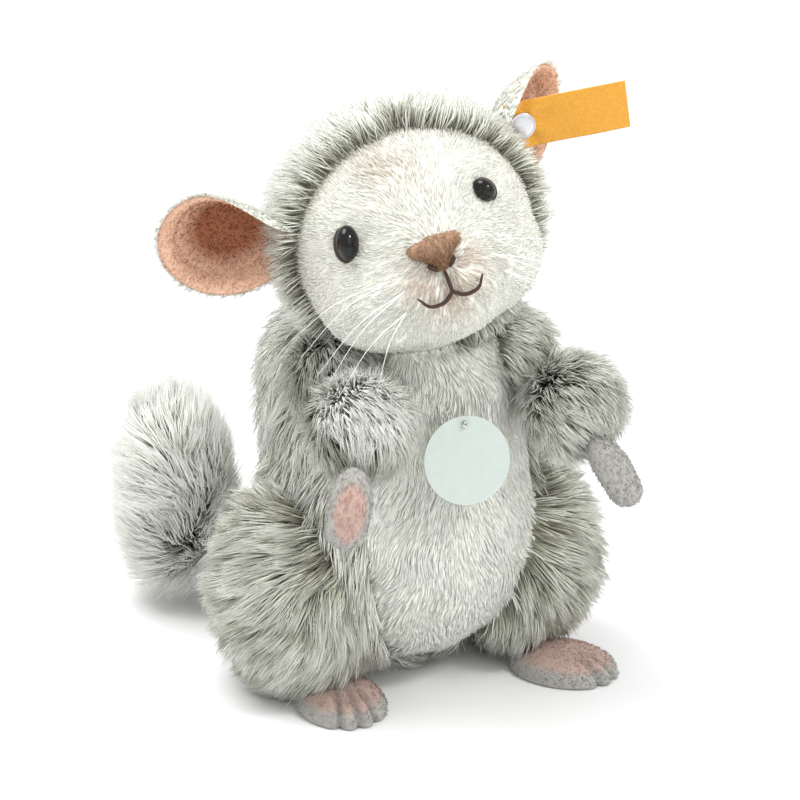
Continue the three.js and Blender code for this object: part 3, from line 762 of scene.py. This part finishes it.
# Nose, nostrils and mouth: a padded triangle of short brown cloth, three dark brown stitches under each of
# its lower edges, and the mouth sewn in one thick dark thread that is pulled into the white pile.
def tube(name, material, paths, radius_at, around=8):
    """Threads along paths in one mesh. radius_at says how thick a thread is from 0 at its root to 1."""
    spots, faces = [], []
    for path in paths:
        first = len(spots)
        ways = unit(np.gradient(path, axis=0))
        side = unit(np.cross(ways, (0.31, 0.17, 0.93)))
        over = np.cross(ways, side)
        for step, (spot, s, o) in enumerate(zip(path, side, over)):
            radius = radius_at(step / (len(path) - 1))
            for i in range(around):
                angle = 2 * math.pi * i / around
                spots.append(spot + (s * math.cos(angle) + o * math.sin(angle)) * radius)
        for step in range(len(path) - 1):
            a = first + step * around
            for i in range(around):
                j = (i + 1) % around
                faces.append((a + i, a + around + i, a + around + j, a + j))
        faces.append(tuple(first + i for i in range(around)))
        faces.append(tuple(len(spots) - 1 - i for i in range(around)))
    piece = mesh_piece(name, spots, faces, material)
    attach(piece, "root")
    return piece


def thread_material(name, colour, twist=900):
    """Twisted thread: fine slanting ridges, with painted light on their tops and painted shade in the
    grooves.
    """
    material = plain_material(name, colour, 0.8)
    tree, links = material.node_tree, material.node_tree.links
    shader = tree.nodes["Principled BSDF"]
    place, wave = add_node(tree, "TexCoord"), add_node(tree, "TexWave", Scale=twist, Distortion=1.5)
    wave.bands_direction = "DIAGONAL"
    bump, ramp = add_node(tree, "Bump", Distance=0.0003), add_node(tree, "ValToRGB")
    # The ramp follows the ridges' height: painted shade makes the grooves darker and painted light makes the
    # tops lighter.
    ramp.color_ramp.elements[0].color = (*(0.6 * c for c in colour), 1)
    ramp.color_ramp.elements[1].color = (*(min(1, 1.5 * c) for c in colour), 1)
    links.new(place.outputs["Object"], wave.inputs["Vector"])
    links.new(wave.outputs["Fac"], bump.inputs["Height"])
    links.new(wave.outputs["Fac"], ramp.inputs["Fac"])
    links.new(ramp.outputs["Color"], shader.inputs["Base Color"])
    links.new(bump.outputs["Normal"], shader.inputs["Normal"])
    return material


nose_dye = dyed_group(
    "nose_dye",
    [(0, (0.20, 0.105, 0.055)), (1, (0.43, 0.27, 0.17))],
    [(0, (0.12, 0.055, 0.03)), (1, (0.26, 0.14, 0.08))],
    [(0, (0.36, 0.20, 0.12)), (1, (0.58, 0.40, 0.28))],
)
NOSE_WIDTH, NOSE_HEIGHT, NOSE_UP = 18, 10, -10
nose_corner, nose_top = NOSE_WIDTH / 2 - 2, NOSE_UP + NOSE_HEIGHT / 2 - 2
nose_pads = [(on_face(x, nose_top), np.array([3, 3, 2.6]), UPRIGHT) for x in (-nose_corner, 0, nose_corner)]
nose_pads.append((on_face(0, NOSE_UP - NOSE_HEIGHT / 2 + 2), np.array([2.4, 3, 3]), UPRIGHT))
nose_pads.append((on_face(0, NOSE_UP + 1), np.array([5, 3.2, 4]), UPRIGHT))
nose = smooth_over(
    "nose_cloth", dyed_material("nose_cloth", nose_dye, 0.9, grain=0.8),
    lambda spots: outside(nose_pads, 5, spots, 0.3), on_face(0, NOSE_UP), 20, 4,
)
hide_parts("nose")
nose_spots, nose_triangles = cloth_of(nose)


# The nose is lighter brown towards its top.
def nose_top_share(spots):
    return np.clip(((spots - HEAD_AT) @ HEAD_TURN[:, 2] - NOSE_UP) / 6 + 0.3, 0, 1)


dye(nose, 0.4, 0.3, nose_top_share(nose_spots))
rng = np.random.default_rng(301)
roots, normals = cloth_roots(nose_spots, nose_triangles, 1500, rng)
nose_lie = np.tile(HEAD_TURN @ np.array([0, 0.3, -1.0]), (len(roots), 1))
nose_unwrap = around(roots, on_face(0, NOSE_UP), 12)
nose_fibre = dyed_material("nose_fibre", nose_dye)
nose_fuzz = pile("nose_fuzz", nose_fibre, roots, normals, nose_lie, nose_unwrap, rng, 1.3, 0.28, 0.5, 0.3,
                 nose_top_share(roots), 3)

brown_thread = thread_material("brown_thread", (0.075, 0.038, 0.028))
for side, across in (("right", -1), ("left", 1)):
    stitches = []
    for row in range(3):
        down = NOSE_UP - 0.45 * row
        stitches.append(path_through([
            on_face(across * 1.9, down - 4.9, 0.1),
            on_face(across * 3.4, down - 4.1, 1.1 - 0.3 * row),
            on_face(across * 4.9, down - 2.8, 0.2),
        ], 14))
    nostril = tube(f"nostril_stitches_{side}", brown_thread, stitches, lambda t: 0.36)
    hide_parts(f"nostril_{side}")
mouth = tube("mouth_thread", brown_thread, MOUTH_LINES, lambda t: 0.74 - 0.44 * t**3)
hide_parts("mouth_stitch")


# Whiskers: pairs of clear nylon bristle, each pair drawn through the cheek at one stitch, bending down under
# their own weight and tapering to nothing.
WHISKERS = {
    "right": {
        "a": ((18, -13), ((40, 2, -7), (38, -1, -13))),
        "b": ((15, -18), ((39, 0, -16), (37, -3, -20))),
        "c": ((17, -25), ((33, 0, -19), (20, -3, -22))),
    },
    "left": {
        "a": ((21, -13), ((35, 0, -20), (24, -9, -29))),
        "b": ((18, -17), ((36, 2, -28), (31, 0, -33))),
        "c": ((20, -24), ((30, 2, -33), (25, -1, -34))),
    },
}
nylon = mottled_material("whisker_nylon", (0.74, 0.74, 0.72), (0.90, 0.90, 0.88), 0.18, 0.34, 400)
nylon.node_tree.nodes["Principled BSDF"].inputs["Coat Weight"].default_value = 0.5
for side, across in (("right", -1), ("left", 1)):
    for pair, ((x, z), tips) in WHISKERS[side].items():
        start = on_face(across * x, z, -1.0)
        hairs = []
        for tip_x, tip_y, tip_z in tips:
            tip = start + HEAD_TURN @ np.array([across * tip_x, tip_y, tip_z], float)
            middle = (start + tip) / 2 + HEAD_TURN @ unit(np.array([0, -4.0, 5.0])) * 4
            hairs.append(path_through([start, middle, tip], 14))
        hair = tube(f"whisker_pair_{side}_{pair}", nylon, hairs, lambda t: 0.24 - 0.17 * t, 6)
        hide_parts(f"whiskers_{side}_{pair}")


# Ears: each is a shallow cup sewn from two layers turned in at a padded rim, short white-grey plush outside
# and peach velour inside, darker and redder down in the cup. The right ear's upper edge is folded forwards.
EAR_LENGTH, EAR_HALF, EAR_CUP, EAR_HEM = 52.0, 25.0, 10.0, 6.0
EARS = {
    "right": ((-46, -4, 174), (-97, 1, 188), (-0.5, -0.86, -0.1), -1, 15),
    "left": ((24, -6, 186), (54, 4, 228), (0.55, -0.83, -0.1), 1, 0),
}
ear_dye = dyed_group(
    "ear_dye",
    [(0, (0.74, 0.44, 0.30)), (1, (0.95, 0.68, 0.51))],
    [(0, (0.62, 0.33, 0.21)), (1, (0.88, 0.56, 0.39))],
    [(0, (0.25, 0.08, 0.04)), (1, (0.46, 0.185, 0.10))],
)
ear_cloth = dyed_material("ear_lining_cloth", ear_dye, 0.9, grain=0.9)
ear_fibre = dyed_material("ear_lining_fibre", ear_dye)
RINGS, AROUND = 26, 84


def faces_out(piece, merge=0.0):
    """Turns the faces of a closed piece outwards, after joining spots that are nearer than merge."""
    mesh = bmesh.new()
    mesh.from_mesh(piece.data)
    if merge:
        bmesh.ops.remove_doubles(mesh, verts=mesh.verts, dist=merge)
    bmesh.ops.recalc_face_normals(mesh, faces=mesh.faces)
    mesh.to_mesh(piece.data)
    mesh.free()


def disc_faces(first, flip):
    """Faces of a disc whose spots run ring by ring out from its middle."""
    faces = []
    for i in range(AROUND):
        j = (i + 1) % AROUND
        faces.append((first, first + 1 + i, first + 1 + j))
        for ring in range(RINGS - 1):
            a = first + 1 + ring * AROUND
            faces.append((a + i, a + AROUND + i, a + AROUND + j, a + j))
    return [tuple(reversed(face)) for face in faces] if flip else faces


for order, (side, (root, tip, faces_to, hand, folded)) in enumerate(EARS.items()):
    root, tip = np.array(root, float), np.array(tip, float)
    along = unit(tip - root)
    front = unit(np.array(faces_to) - along * np.dot(faces_to, along))
    over = np.cross(front, along) * hand

    def ear_spot(out, angle, raise_by, shrink):
        """A spot of the ear out from its middle, raised forwards from the cup."""
        reach = out * shrink
        across = np.sin(angle) * reach
        hem = EAR_HEM * np.maximum(0, across) ** 3
        near_root = np.clip(0.85 - (0.5 + 0.5 * reach * np.cos(angle)), 0, 1)
        fold = np.clip((across - 0.3) / 0.7, 0, 1) ** 1.5 * near_root
        wave = 0.5 * np.sin(3 * angle + order) * reach**3
        forward = EAR_CUP * reach**2 + hem + wave + raise_by + folded * fold
        wide = EAR_HALF * across * (1 - 0.12 * reach**2) - folded * fold
        return (
            root
            + along * (EAR_LENGTH * (0.5 + 0.5 * reach * np.cos(angle)))[..., None]
            + front * forward[..., None]
            + over * wide[..., None]
        )

    angle = np.linspace(0, 2 * math.pi, AROUND, endpoint=False)
    out = (np.arange(RINGS) + 1) / RINGS
    grid_out, grid_angle = np.meshgrid(out, angle, indexing="ij")
    rim = np.sqrt(np.clip(1 - ((grid_out - 0.86) / 0.14) ** 2, 0, 1))
    middle = (np.array([0.0]), np.array([0.0]))

    def layer(height, shrink, at_middle):
        centre_spot = ear_spot(*middle, np.array([at_middle]), shrink)
        return np.vstack([centre_spot, ear_spot(grid_out, grid_angle, height, shrink).reshape(-1, 3)])

    inside_spots = layer(2.4 * rim - 0.4, 0.965, -0.4)
    backing = layer(-0.5 + 0 * rim, 0.965, -0.5)
    closing = [(RINGS - 1) * AROUND + 1 + i for i in range(AROUND)]
    half_count = len(inside_spots)
    flip = hand < 0

    def two_layers(name, upper, lower, material):
        """A closed sheet of two layers that meet at the rim."""
        faces = disc_faces(0, not flip) + disc_faces(half_count, flip)
        for i in range(AROUND):
            a, b = closing[i], closing[(i + 1) % AROUND]
            quad = (a, b, half_count + b, half_count + a)
            faces.append(quad if flip else tuple(reversed(quad)))
        piece = mesh_piece(name, np.vstack([upper, lower]), faces, material)
        faces_out(piece)
        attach(piece, "root")
        return piece

    lining = two_layers(f"ear_lining_cloth_{side}", inside_spots, backing, ear_cloth)
    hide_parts(f"ear_lining_{side}")
    outer = two_layers(
        f"ear_plush_{side}", layer(-0.6 + 0 * rim, 1.0, -0.6), layer(-1.9 + 1.2 * grid_out**6, 1.0, -1.9),
        plush_cloth,
    )
    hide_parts(f"ear_{side}")
    dye(outer, 0.6, 0.2, 0.75)

    def depth_share(spots):
        """1 deep in the cup and 0 on the rim."""
        local = spots - root
        x = 2 * (local @ along) / EAR_LENGTH - 1
        y = local @ over / EAR_HALF
        return np.clip((0.70 - np.hypot(x, y)) * 3.2 + 0.35 * y - 0.25 * x, 0, 1)

    lining_spots, lining_triangles = cloth_of(lining)
    dye(lining, 0.5, 0.3, depth_share(lining_spots))

    def unwrap_of(spots):
        """Unwraps an ear flat: along it and across it."""
        local = spots - root
        return np.clip(np.stack([local @ along / 70 + 0.1, local @ over / 70 + 0.5], axis=1), 0, 0.997)

    shown = lining_triangles[(lining_triangles < half_count).all(axis=1)]
    rng = np.random.default_rng(310 + order)
    roots, normals = cloth_roots(lining_spots, shown, 3400, rng)
    normals = np.where((normals @ front < 0)[:, None], -normals, normals)
    outwards = unit(roots - (root + along * EAR_LENGTH / 2) + front * 2)
    fuzz = pile(f"ear_lining_fuzz_{side}", ear_fibre, roots, normals, outwards, unwrap_of(roots), rng,
                1.1, 0.27, 0.55, 0.3, depth_share(roots), 3)
    outer_spots, outer_triangles = cloth_of(outer)
    behind = outer_triangles[(outer_triangles >= half_count).any(axis=1)]
    roots, normals = cloth_roots(outer_spots, behind, 2700, rng)
    normals = np.where((normals @ front > 0.2)[:, None], -normals, normals)
    coat = pile(f"ear_plush_fuzz_{side}", pile_fibre, roots, normals, unit(roots - root), unwrap_of(roots),
                rng, 2.6, 0.4, 0.35, 0.2, 0.7, 5)


# Hands and feet: mittens of short grey velour with a pink palm, and flat padded feet with pink tops, where
# three seams drawn tight part four toes.
velour_dye = dyed_group(
    "velour_dye",
    [(0, (0.33, 0.32, 0.29)), (1, (0.64, 0.635, 0.60))],
    [(0, (0.20, 0.19, 0.175)), (1, (0.50, 0.49, 0.46))],
    [(0, (0.44, 0.26, 0.21)), (1, (0.73, 0.53, 0.46))],
)
velour_cloth = dyed_material("velour_cloth", velour_dye, 0.9, grain=0.9)
velour_fibre = dyed_material("velour_fibre", velour_dye)
HANDS = {
    "right": ((-49, -66, 108), (-58, -76, 87), (-0.25, -0.9, 0.3)),
    "left": ((47, -62, 103), (55, -76, 84), (-0.3, 0.8, -0.5)),
}


def velour_piece(name, node, field, centre, reach, lie, share, count, seed, shade=lambda spots: 0.3):
    """A velour piece with its fuzz. share says where the pink dye lies, and shade where it is dark."""
    piece = smooth_over(name, velour_cloth, field, centre, reach, 5)
    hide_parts(node)
    spots, triangles = cloth_of(piece)
    dye(piece, 0.45, shade(spots), share(spots) * (1 - 0.6 * np.asarray(shade(spots))))
    rng = np.random.default_rng(seed)
    triangles = triangles[spots[triangles][:, :, 2].mean(axis=1) > 1.0]
    roots, normals = cloth_roots(spots, triangles, count, rng)
    fuzz = pile(f"{name}_fuzz", velour_fibre, roots, normals, np.tile(lie, (count, 1)),
                around(roots, centre, reach / 2), rng, 1.3, 0.24, 0.5, shade(roots), share(roots), 4)


for order, (side, (start, end, palm)) in enumerate(HANDS.items()):
    start, end, palm = (np.array(v, float) for v in (start, end, palm))
    centre, fingers = (start + end) / 2, unit(end - start)
    flat = unit(palm - fingers * np.dot(palm, fingers))
    across = np.cross(fingers, flat)
    turn = np.stack([across, flat, -fingers], axis=1)
    mitten = [(centre, np.array([8.2, 5.6, 14.6]), turn)]
    for i in (-1.5, -0.5, 0.5, 1.5):
        tip_at = centre + fingers * (9.5 - 0.8 * abs(i)) + across * i * 3.5 + flat * 0.6
        mitten.append((tip_at, np.array([2.1, 3.0, 5.2]), turn))

    def palm_share(spots):
        local = spots - centre
        oval = np.hypot((local @ fingers - 2.5) / 11.5, local @ across / 6.2)
        return np.clip((1 - oval) * 4, 0, 1) * np.clip(local @ flat - 0.5, 0, 1)

    velour_piece(
        f"mitten_{side}", f"hand_{side}", lambda spots: outside(mitten, 2.2, spots, 0.5), centre, 30,
        fingers, palm_share, 1700, 330 + order,
    )

FOOT_HALF, FOOT_REACH, FOOT_HEIGHT = 17.0, 22.0, 10.0
FEET = {"right": (-38, -27, -4), "left": (51, -34, 36)}
for order, (side, (x, y, degrees)) in enumerate(FEET.items()):
    turn = turn_of(yaw=degrees)
    middle = np.array([x, y, 1.0])
    foot_pad = [(middle, np.array([FOOT_HALF, FOOT_REACH, FOOT_HEIGHT]), turn)]

    def toe_seams(spots):
        local = (spots - middle) @ turn
        forward = np.clip(-local[:, 1] / FOOT_REACH, 0, 1.2)
        seams = np.zeros(len(spots))
        for toe in (-1, 0, 1):
            gap = local[:, 0] - toe * FOOT_HALF * 0.45 * (0.35 + 0.65 * forward)
            seams = seams + np.exp(-((gap / 1.35) ** 2)) * np.clip(forward * 2.2 - 0.1, 0, 1)
        return np.clip(seams, 0, 1)

    def foot_field(spots):
        return outside(foot_pad, 1, spots, 0.5) + 2.4 * toe_seams(spots)

    def pink_share(spots):
        local = (spots - middle) @ turn
        oval = np.hypot(local[:, 0] / FOOT_HALF, (local[:, 1] + 1) / FOOT_REACH)
        return np.clip((0.93 - oval) * 6, 0, 1) * np.clip((local[:, 2] - 3) * 0.5, 0, 1) * 0.85

    velour_piece(
        f"padded_foot_{side}", f"foot_{side}", foot_field, middle + np.array([0, 0, 3]), 50,
        turn @ np.array([0, -1.0, 0.2]), pink_share, 2000, 340 + order,
        lambda spots: np.clip(0.25 + 0.75 * toe_seams(spots), 0, 1),
    )


# Ribbon tag and stud: a strip of golden woven ribbon, left bare, that the stud pins through the ear. It
# puckers round the stud, which is a white-metal cap with a turned-over edge and a shank.
TAG_AXES = np.array([[0.955, -0.25, 0.16], [0.25, 0.968, 0.02], [-0.16, 0, 0.987]]).T
TAG_AT = np.array([38.0, -19.0, 210.0])
TAG_LENGTH, TAG_WIDTH, TAG_BEHIND, TAG_THICK = 45.0, 17.5, 6.0, 0.45
columns, rows = 90, 36
u, v = np.meshgrid(np.linspace(0, 1, columns), np.linspace(0, 1, rows), indexing="ij")
tag_x, tag_z = u * TAG_LENGTH - TAG_BEHIND, (v - 0.5) * TAG_WIDTH
from_stud = np.hypot(tag_x, tag_z)
turn_round = np.arctan2(tag_z, tag_x)
pucker = 0.55 * np.sin(5 * turn_round + 0.6) * np.exp(-((from_stud - 7) / 5) ** 2)
roll = 0.35 * np.sin(tag_x / 4.1 + tag_z / 9) * np.exp(-tag_x / 22)
tag_y = np.sin(tag_x / 7) * 0.5 + np.where(from_stud < 4.8, 0.2, pucker + roll)
tag_spots = []
for raised in (-TAG_THICK / 2, TAG_THICK / 2):
    local = np.stack([tag_x, tag_y + raised, tag_z], axis=-1).reshape(-1, 3)
    tag_spots.append(TAG_AT + local @ TAG_AXES.T)


def cell(i, j, layer):
    return layer * columns * rows + i * rows + j


tag_faces = []
for i in range(columns - 1):
    for j in range(rows - 1):
        quad = (cell(i, j, 0), cell(i + 1, j, 0), cell(i + 1, j + 1, 0), cell(i, j + 1, 0))
        tag_faces += [quad, tuple(reversed([spot + columns * rows for spot in quad]))]
edge = [(i, 0) for i in range(columns)] + [(columns - 1, j) for j in range(1, rows)]
edge += [(i, rows - 1) for i in range(columns - 2, -1, -1)] + [(0, j) for j in range(rows - 2, 0, -1)]
for (i, j), (k, m) in zip(edge, edge[1:] + edge[:1]):
    tag_faces.append((cell(i, j, 0), cell(i, j, 1), cell(k, m, 1), cell(k, m, 0)))
ribbon_weave = plain_material("ribbon_weave", (0.80, 0.38, 0.03), 0.6)
tree, links = ribbon_weave.node_tree, ribbon_weave.node_tree.links
shader = tree.nodes["Principled BSDF"]
shader.inputs["Sheen Weight"].default_value = 0.25
weave_map = add_node(tree, "UVMap")
weave_map.uv_map = "weave"
yarns = add_node(
    tree, "TexBrick", Scale=1.0, Color1=(0.84, 0.40, 0.03, 1), Color2=(0.72, 0.33, 0.022, 1),
    Mortar=(0.50, 0.20, 0.012, 1), Mortar_Size=0.025, Brick_Width=0.9, Row_Height=0.42,
)
weave_bump = add_node(tree, "Bump", Strength=0.5, Distance=0.0002)
weave_bump.invert = True
links.new(weave_map.outputs["UV"], yarns.inputs["Vector"])
links.new(yarns.outputs["Color"], shader.inputs["Base Color"])
links.new(yarns.outputs["Fac"], weave_bump.inputs["Height"])
links.new(weave_bump.outputs["Normal"], shader.inputs["Normal"])
tag = mesh_piece("ribbon_tag", np.vstack(tag_spots), tag_faces, ribbon_weave)
weave = tag.data.uv_layers.new(name="weave")
flat_map = np.tile(np.stack([tag_x, tag_z], axis=-1).reshape(-1, 2), (2, 1))
loop_spots = np.empty(len(tag.data.loops), np.int32)
tag.data.loops.foreach_get("vertex_index", loop_spots)
weave.data.foreach_set("uv", flat_map[loop_spots].astype(np.float32).ravel())
faces_out(tag)
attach(tag, "root")
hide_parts("ear_tag")


def lathe(name, material, profile, matrix, around=64):
    """A piece turned about its own Z axis from a closed profile of radius and height, in millimetres."""
    spots, faces = [], []
    for step in range(around):
        angle = 2 * math.pi * step / around
        for radius, height in profile:
            local = Vector((radius * math.cos(angle), radius * math.sin(angle), height))
            spots.append(tuple(matrix @ local))
    count = len(profile)
    for step in range(around):
        a, b = step * count, (step + 1) % around * count
        faces += [(a + i, b + i, b + i + 1, a + i + 1) for i in range(count - 1)]
    piece = mesh_piece(name, spots, faces, material)
    faces_out(piece, 1e-7)
    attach(piece, "root")
    return piece


def frame_at(origin, z_axis):
    """A frame in millimetres at origin whose Z looks along z_axis."""
    z = Vector(z_axis).normalized()
    y = z.cross(Vector((1, 0, 0))).normalized()
    return Matrix.Translation(Vector(origin)) @ Matrix((y.cross(z), y, z)).transposed().to_4x4()


stud_metal = mottled_material("stud_metal", (0.62, 0.63, 0.65), (0.74, 0.75, 0.77), 0.2, 0.42, 700, 1.0)
STUD_RADIUS, SHANK_RADIUS, EDGE_ROLL = 4.8, 1.1, 0.35
stud_edge, stud_dome = np.linspace(-1, 2, 8), np.linspace(0.1, math.pi / 2, 12)
roll_at = STUD_RADIUS - EDGE_ROLL
stud_profile = [(0, -6), (SHANK_RADIUS, -6), (SHANK_RADIUS, 0.6), (STUD_RADIUS - 0.7, 0.6)]
stud_profile += [(STUD_RADIUS - 0.2, 0.75)]
stud_profile += [(roll_at + EDGE_ROLL * math.cos(a), 1.1 + EDGE_ROLL * math.sin(a)) for a in stud_edge]
stud_profile += [(STUD_RADIUS - 0.75, 1.22), (STUD_RADIUS - 1.0, 1.30)]
stud_profile += [(3.7 * math.cos(a), 1.3 + 0.2 * math.sin(a)) for a in stud_dome]
stud = lathe("stud_cap", stud_metal, stud_profile, frame_at(TAG_AT, -TAG_AXES[:, 1]))
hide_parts("ear_stud")


# Chest card: a round of pale coated board, left bare, with a cut edge and a punched hole. A short white cord
# is knotted through the hole and sewn down into the chest.
CARD_RADIUS, CARD_THICK, CARD_HOLE = 16.0, 0.8, 1.3
card_turn = Matrix.Rotation(math.radians(-8), 4, "Z") @ Matrix.Rotation(math.radians(-14), 4, "X")
card_frame = Matrix.Translation(Vector((0, -53.5, 100))) @ card_turn
card_board = plain_material("card_board", (0.575, 0.635, 0.605), 0.38)
tree, links = card_board.node_tree, card_board.node_tree.links
shader = tree.nodes["Principled BSDF"]
fibres, shades = add_node(tree, "TexNoise", Scale=260, Detail=6), add_node(tree, "ValToRGB")
shades.color_ramp.elements[0].color = (0.49, 0.565, 0.52, 1)
shades.color_ramp.elements[1].color = (0.56, 0.63, 0.59, 1)
card_bump, place = add_node(tree, "Bump", Strength=0.12, Distance=0.0002), add_node(tree, "TexCoord")
links.new(place.outputs["Object"], fibres.inputs["Vector"])
links.new(fibres.outputs["Fac"], shades.inputs["Fac"])
links.new(fibres.outputs["Fac"], card_bump.inputs["Height"])
links.new(shades.outputs["Color"], shader.inputs["Base Color"])
links.new(card_bump.outputs["Normal"], shader.inputs["Normal"])
EDGE_STEPS, HOLE_UP = 128, CARD_RADIUS - 3
edge_level, cut_level = CARD_THICK / 2, CARD_THICK / 2 - 0.12
rings = [(CARD_RADIUS - 0.15, -edge_level, 0.0), (CARD_RADIUS, -cut_level, 0.0)]
rings += [(CARD_RADIUS, cut_level, 0.0), (CARD_RADIUS - 0.15, edge_level, 0.0)]
rings += [(CARD_HOLE, edge_level, HOLE_UP), (CARD_HOLE, -edge_level, HOLE_UP)]
card_spots, card_faces = [], []
for band, (radius, level, up) in enumerate(rings):
    for i in range(EDGE_STEPS):
        angle = 2 * math.pi * i / EDGE_STEPS
        spot = Vector((radius * math.sin(angle), level, up + radius * math.cos(angle)))
        card_spots.append(tuple(card_frame @ spot))
        j = (i + 1) % EDGE_STEPS
        here, after = band * EDGE_STEPS, (band + 1) % len(rings) * EDGE_STEPS
        card_faces.append((here + i, here + j, after + j, after + i))
card = mesh_piece("chest_card_board", card_spots, card_faces, card_board, smooth=False)
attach(card, "root")
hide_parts("chest_card")


def in_card(x, y, z):
    return tuple(card_frame @ Vector((x, y, HOLE_UP + z)))


cord = path_through([in_card(0.2, -1.3, 0), in_card(0, 0.8, 0.1), in_card(0, 3, 0.8), in_card(0, 5, 1.5)])
angle = np.linspace(0, 4 * math.pi, 60)
knot = [in_card(0.75 * math.cos(a), -1.4 + 0.35 * math.sin(a / 2), 0.75 * math.sin(a)) for a in angle]
white_cord = thread_material("card_cord", (0.80, 0.79, 0.75), 700)
card_cord = tube("card_cord", white_cord, [cord, np.array(knot)], lambda t: 0.45)
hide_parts("card_tie")
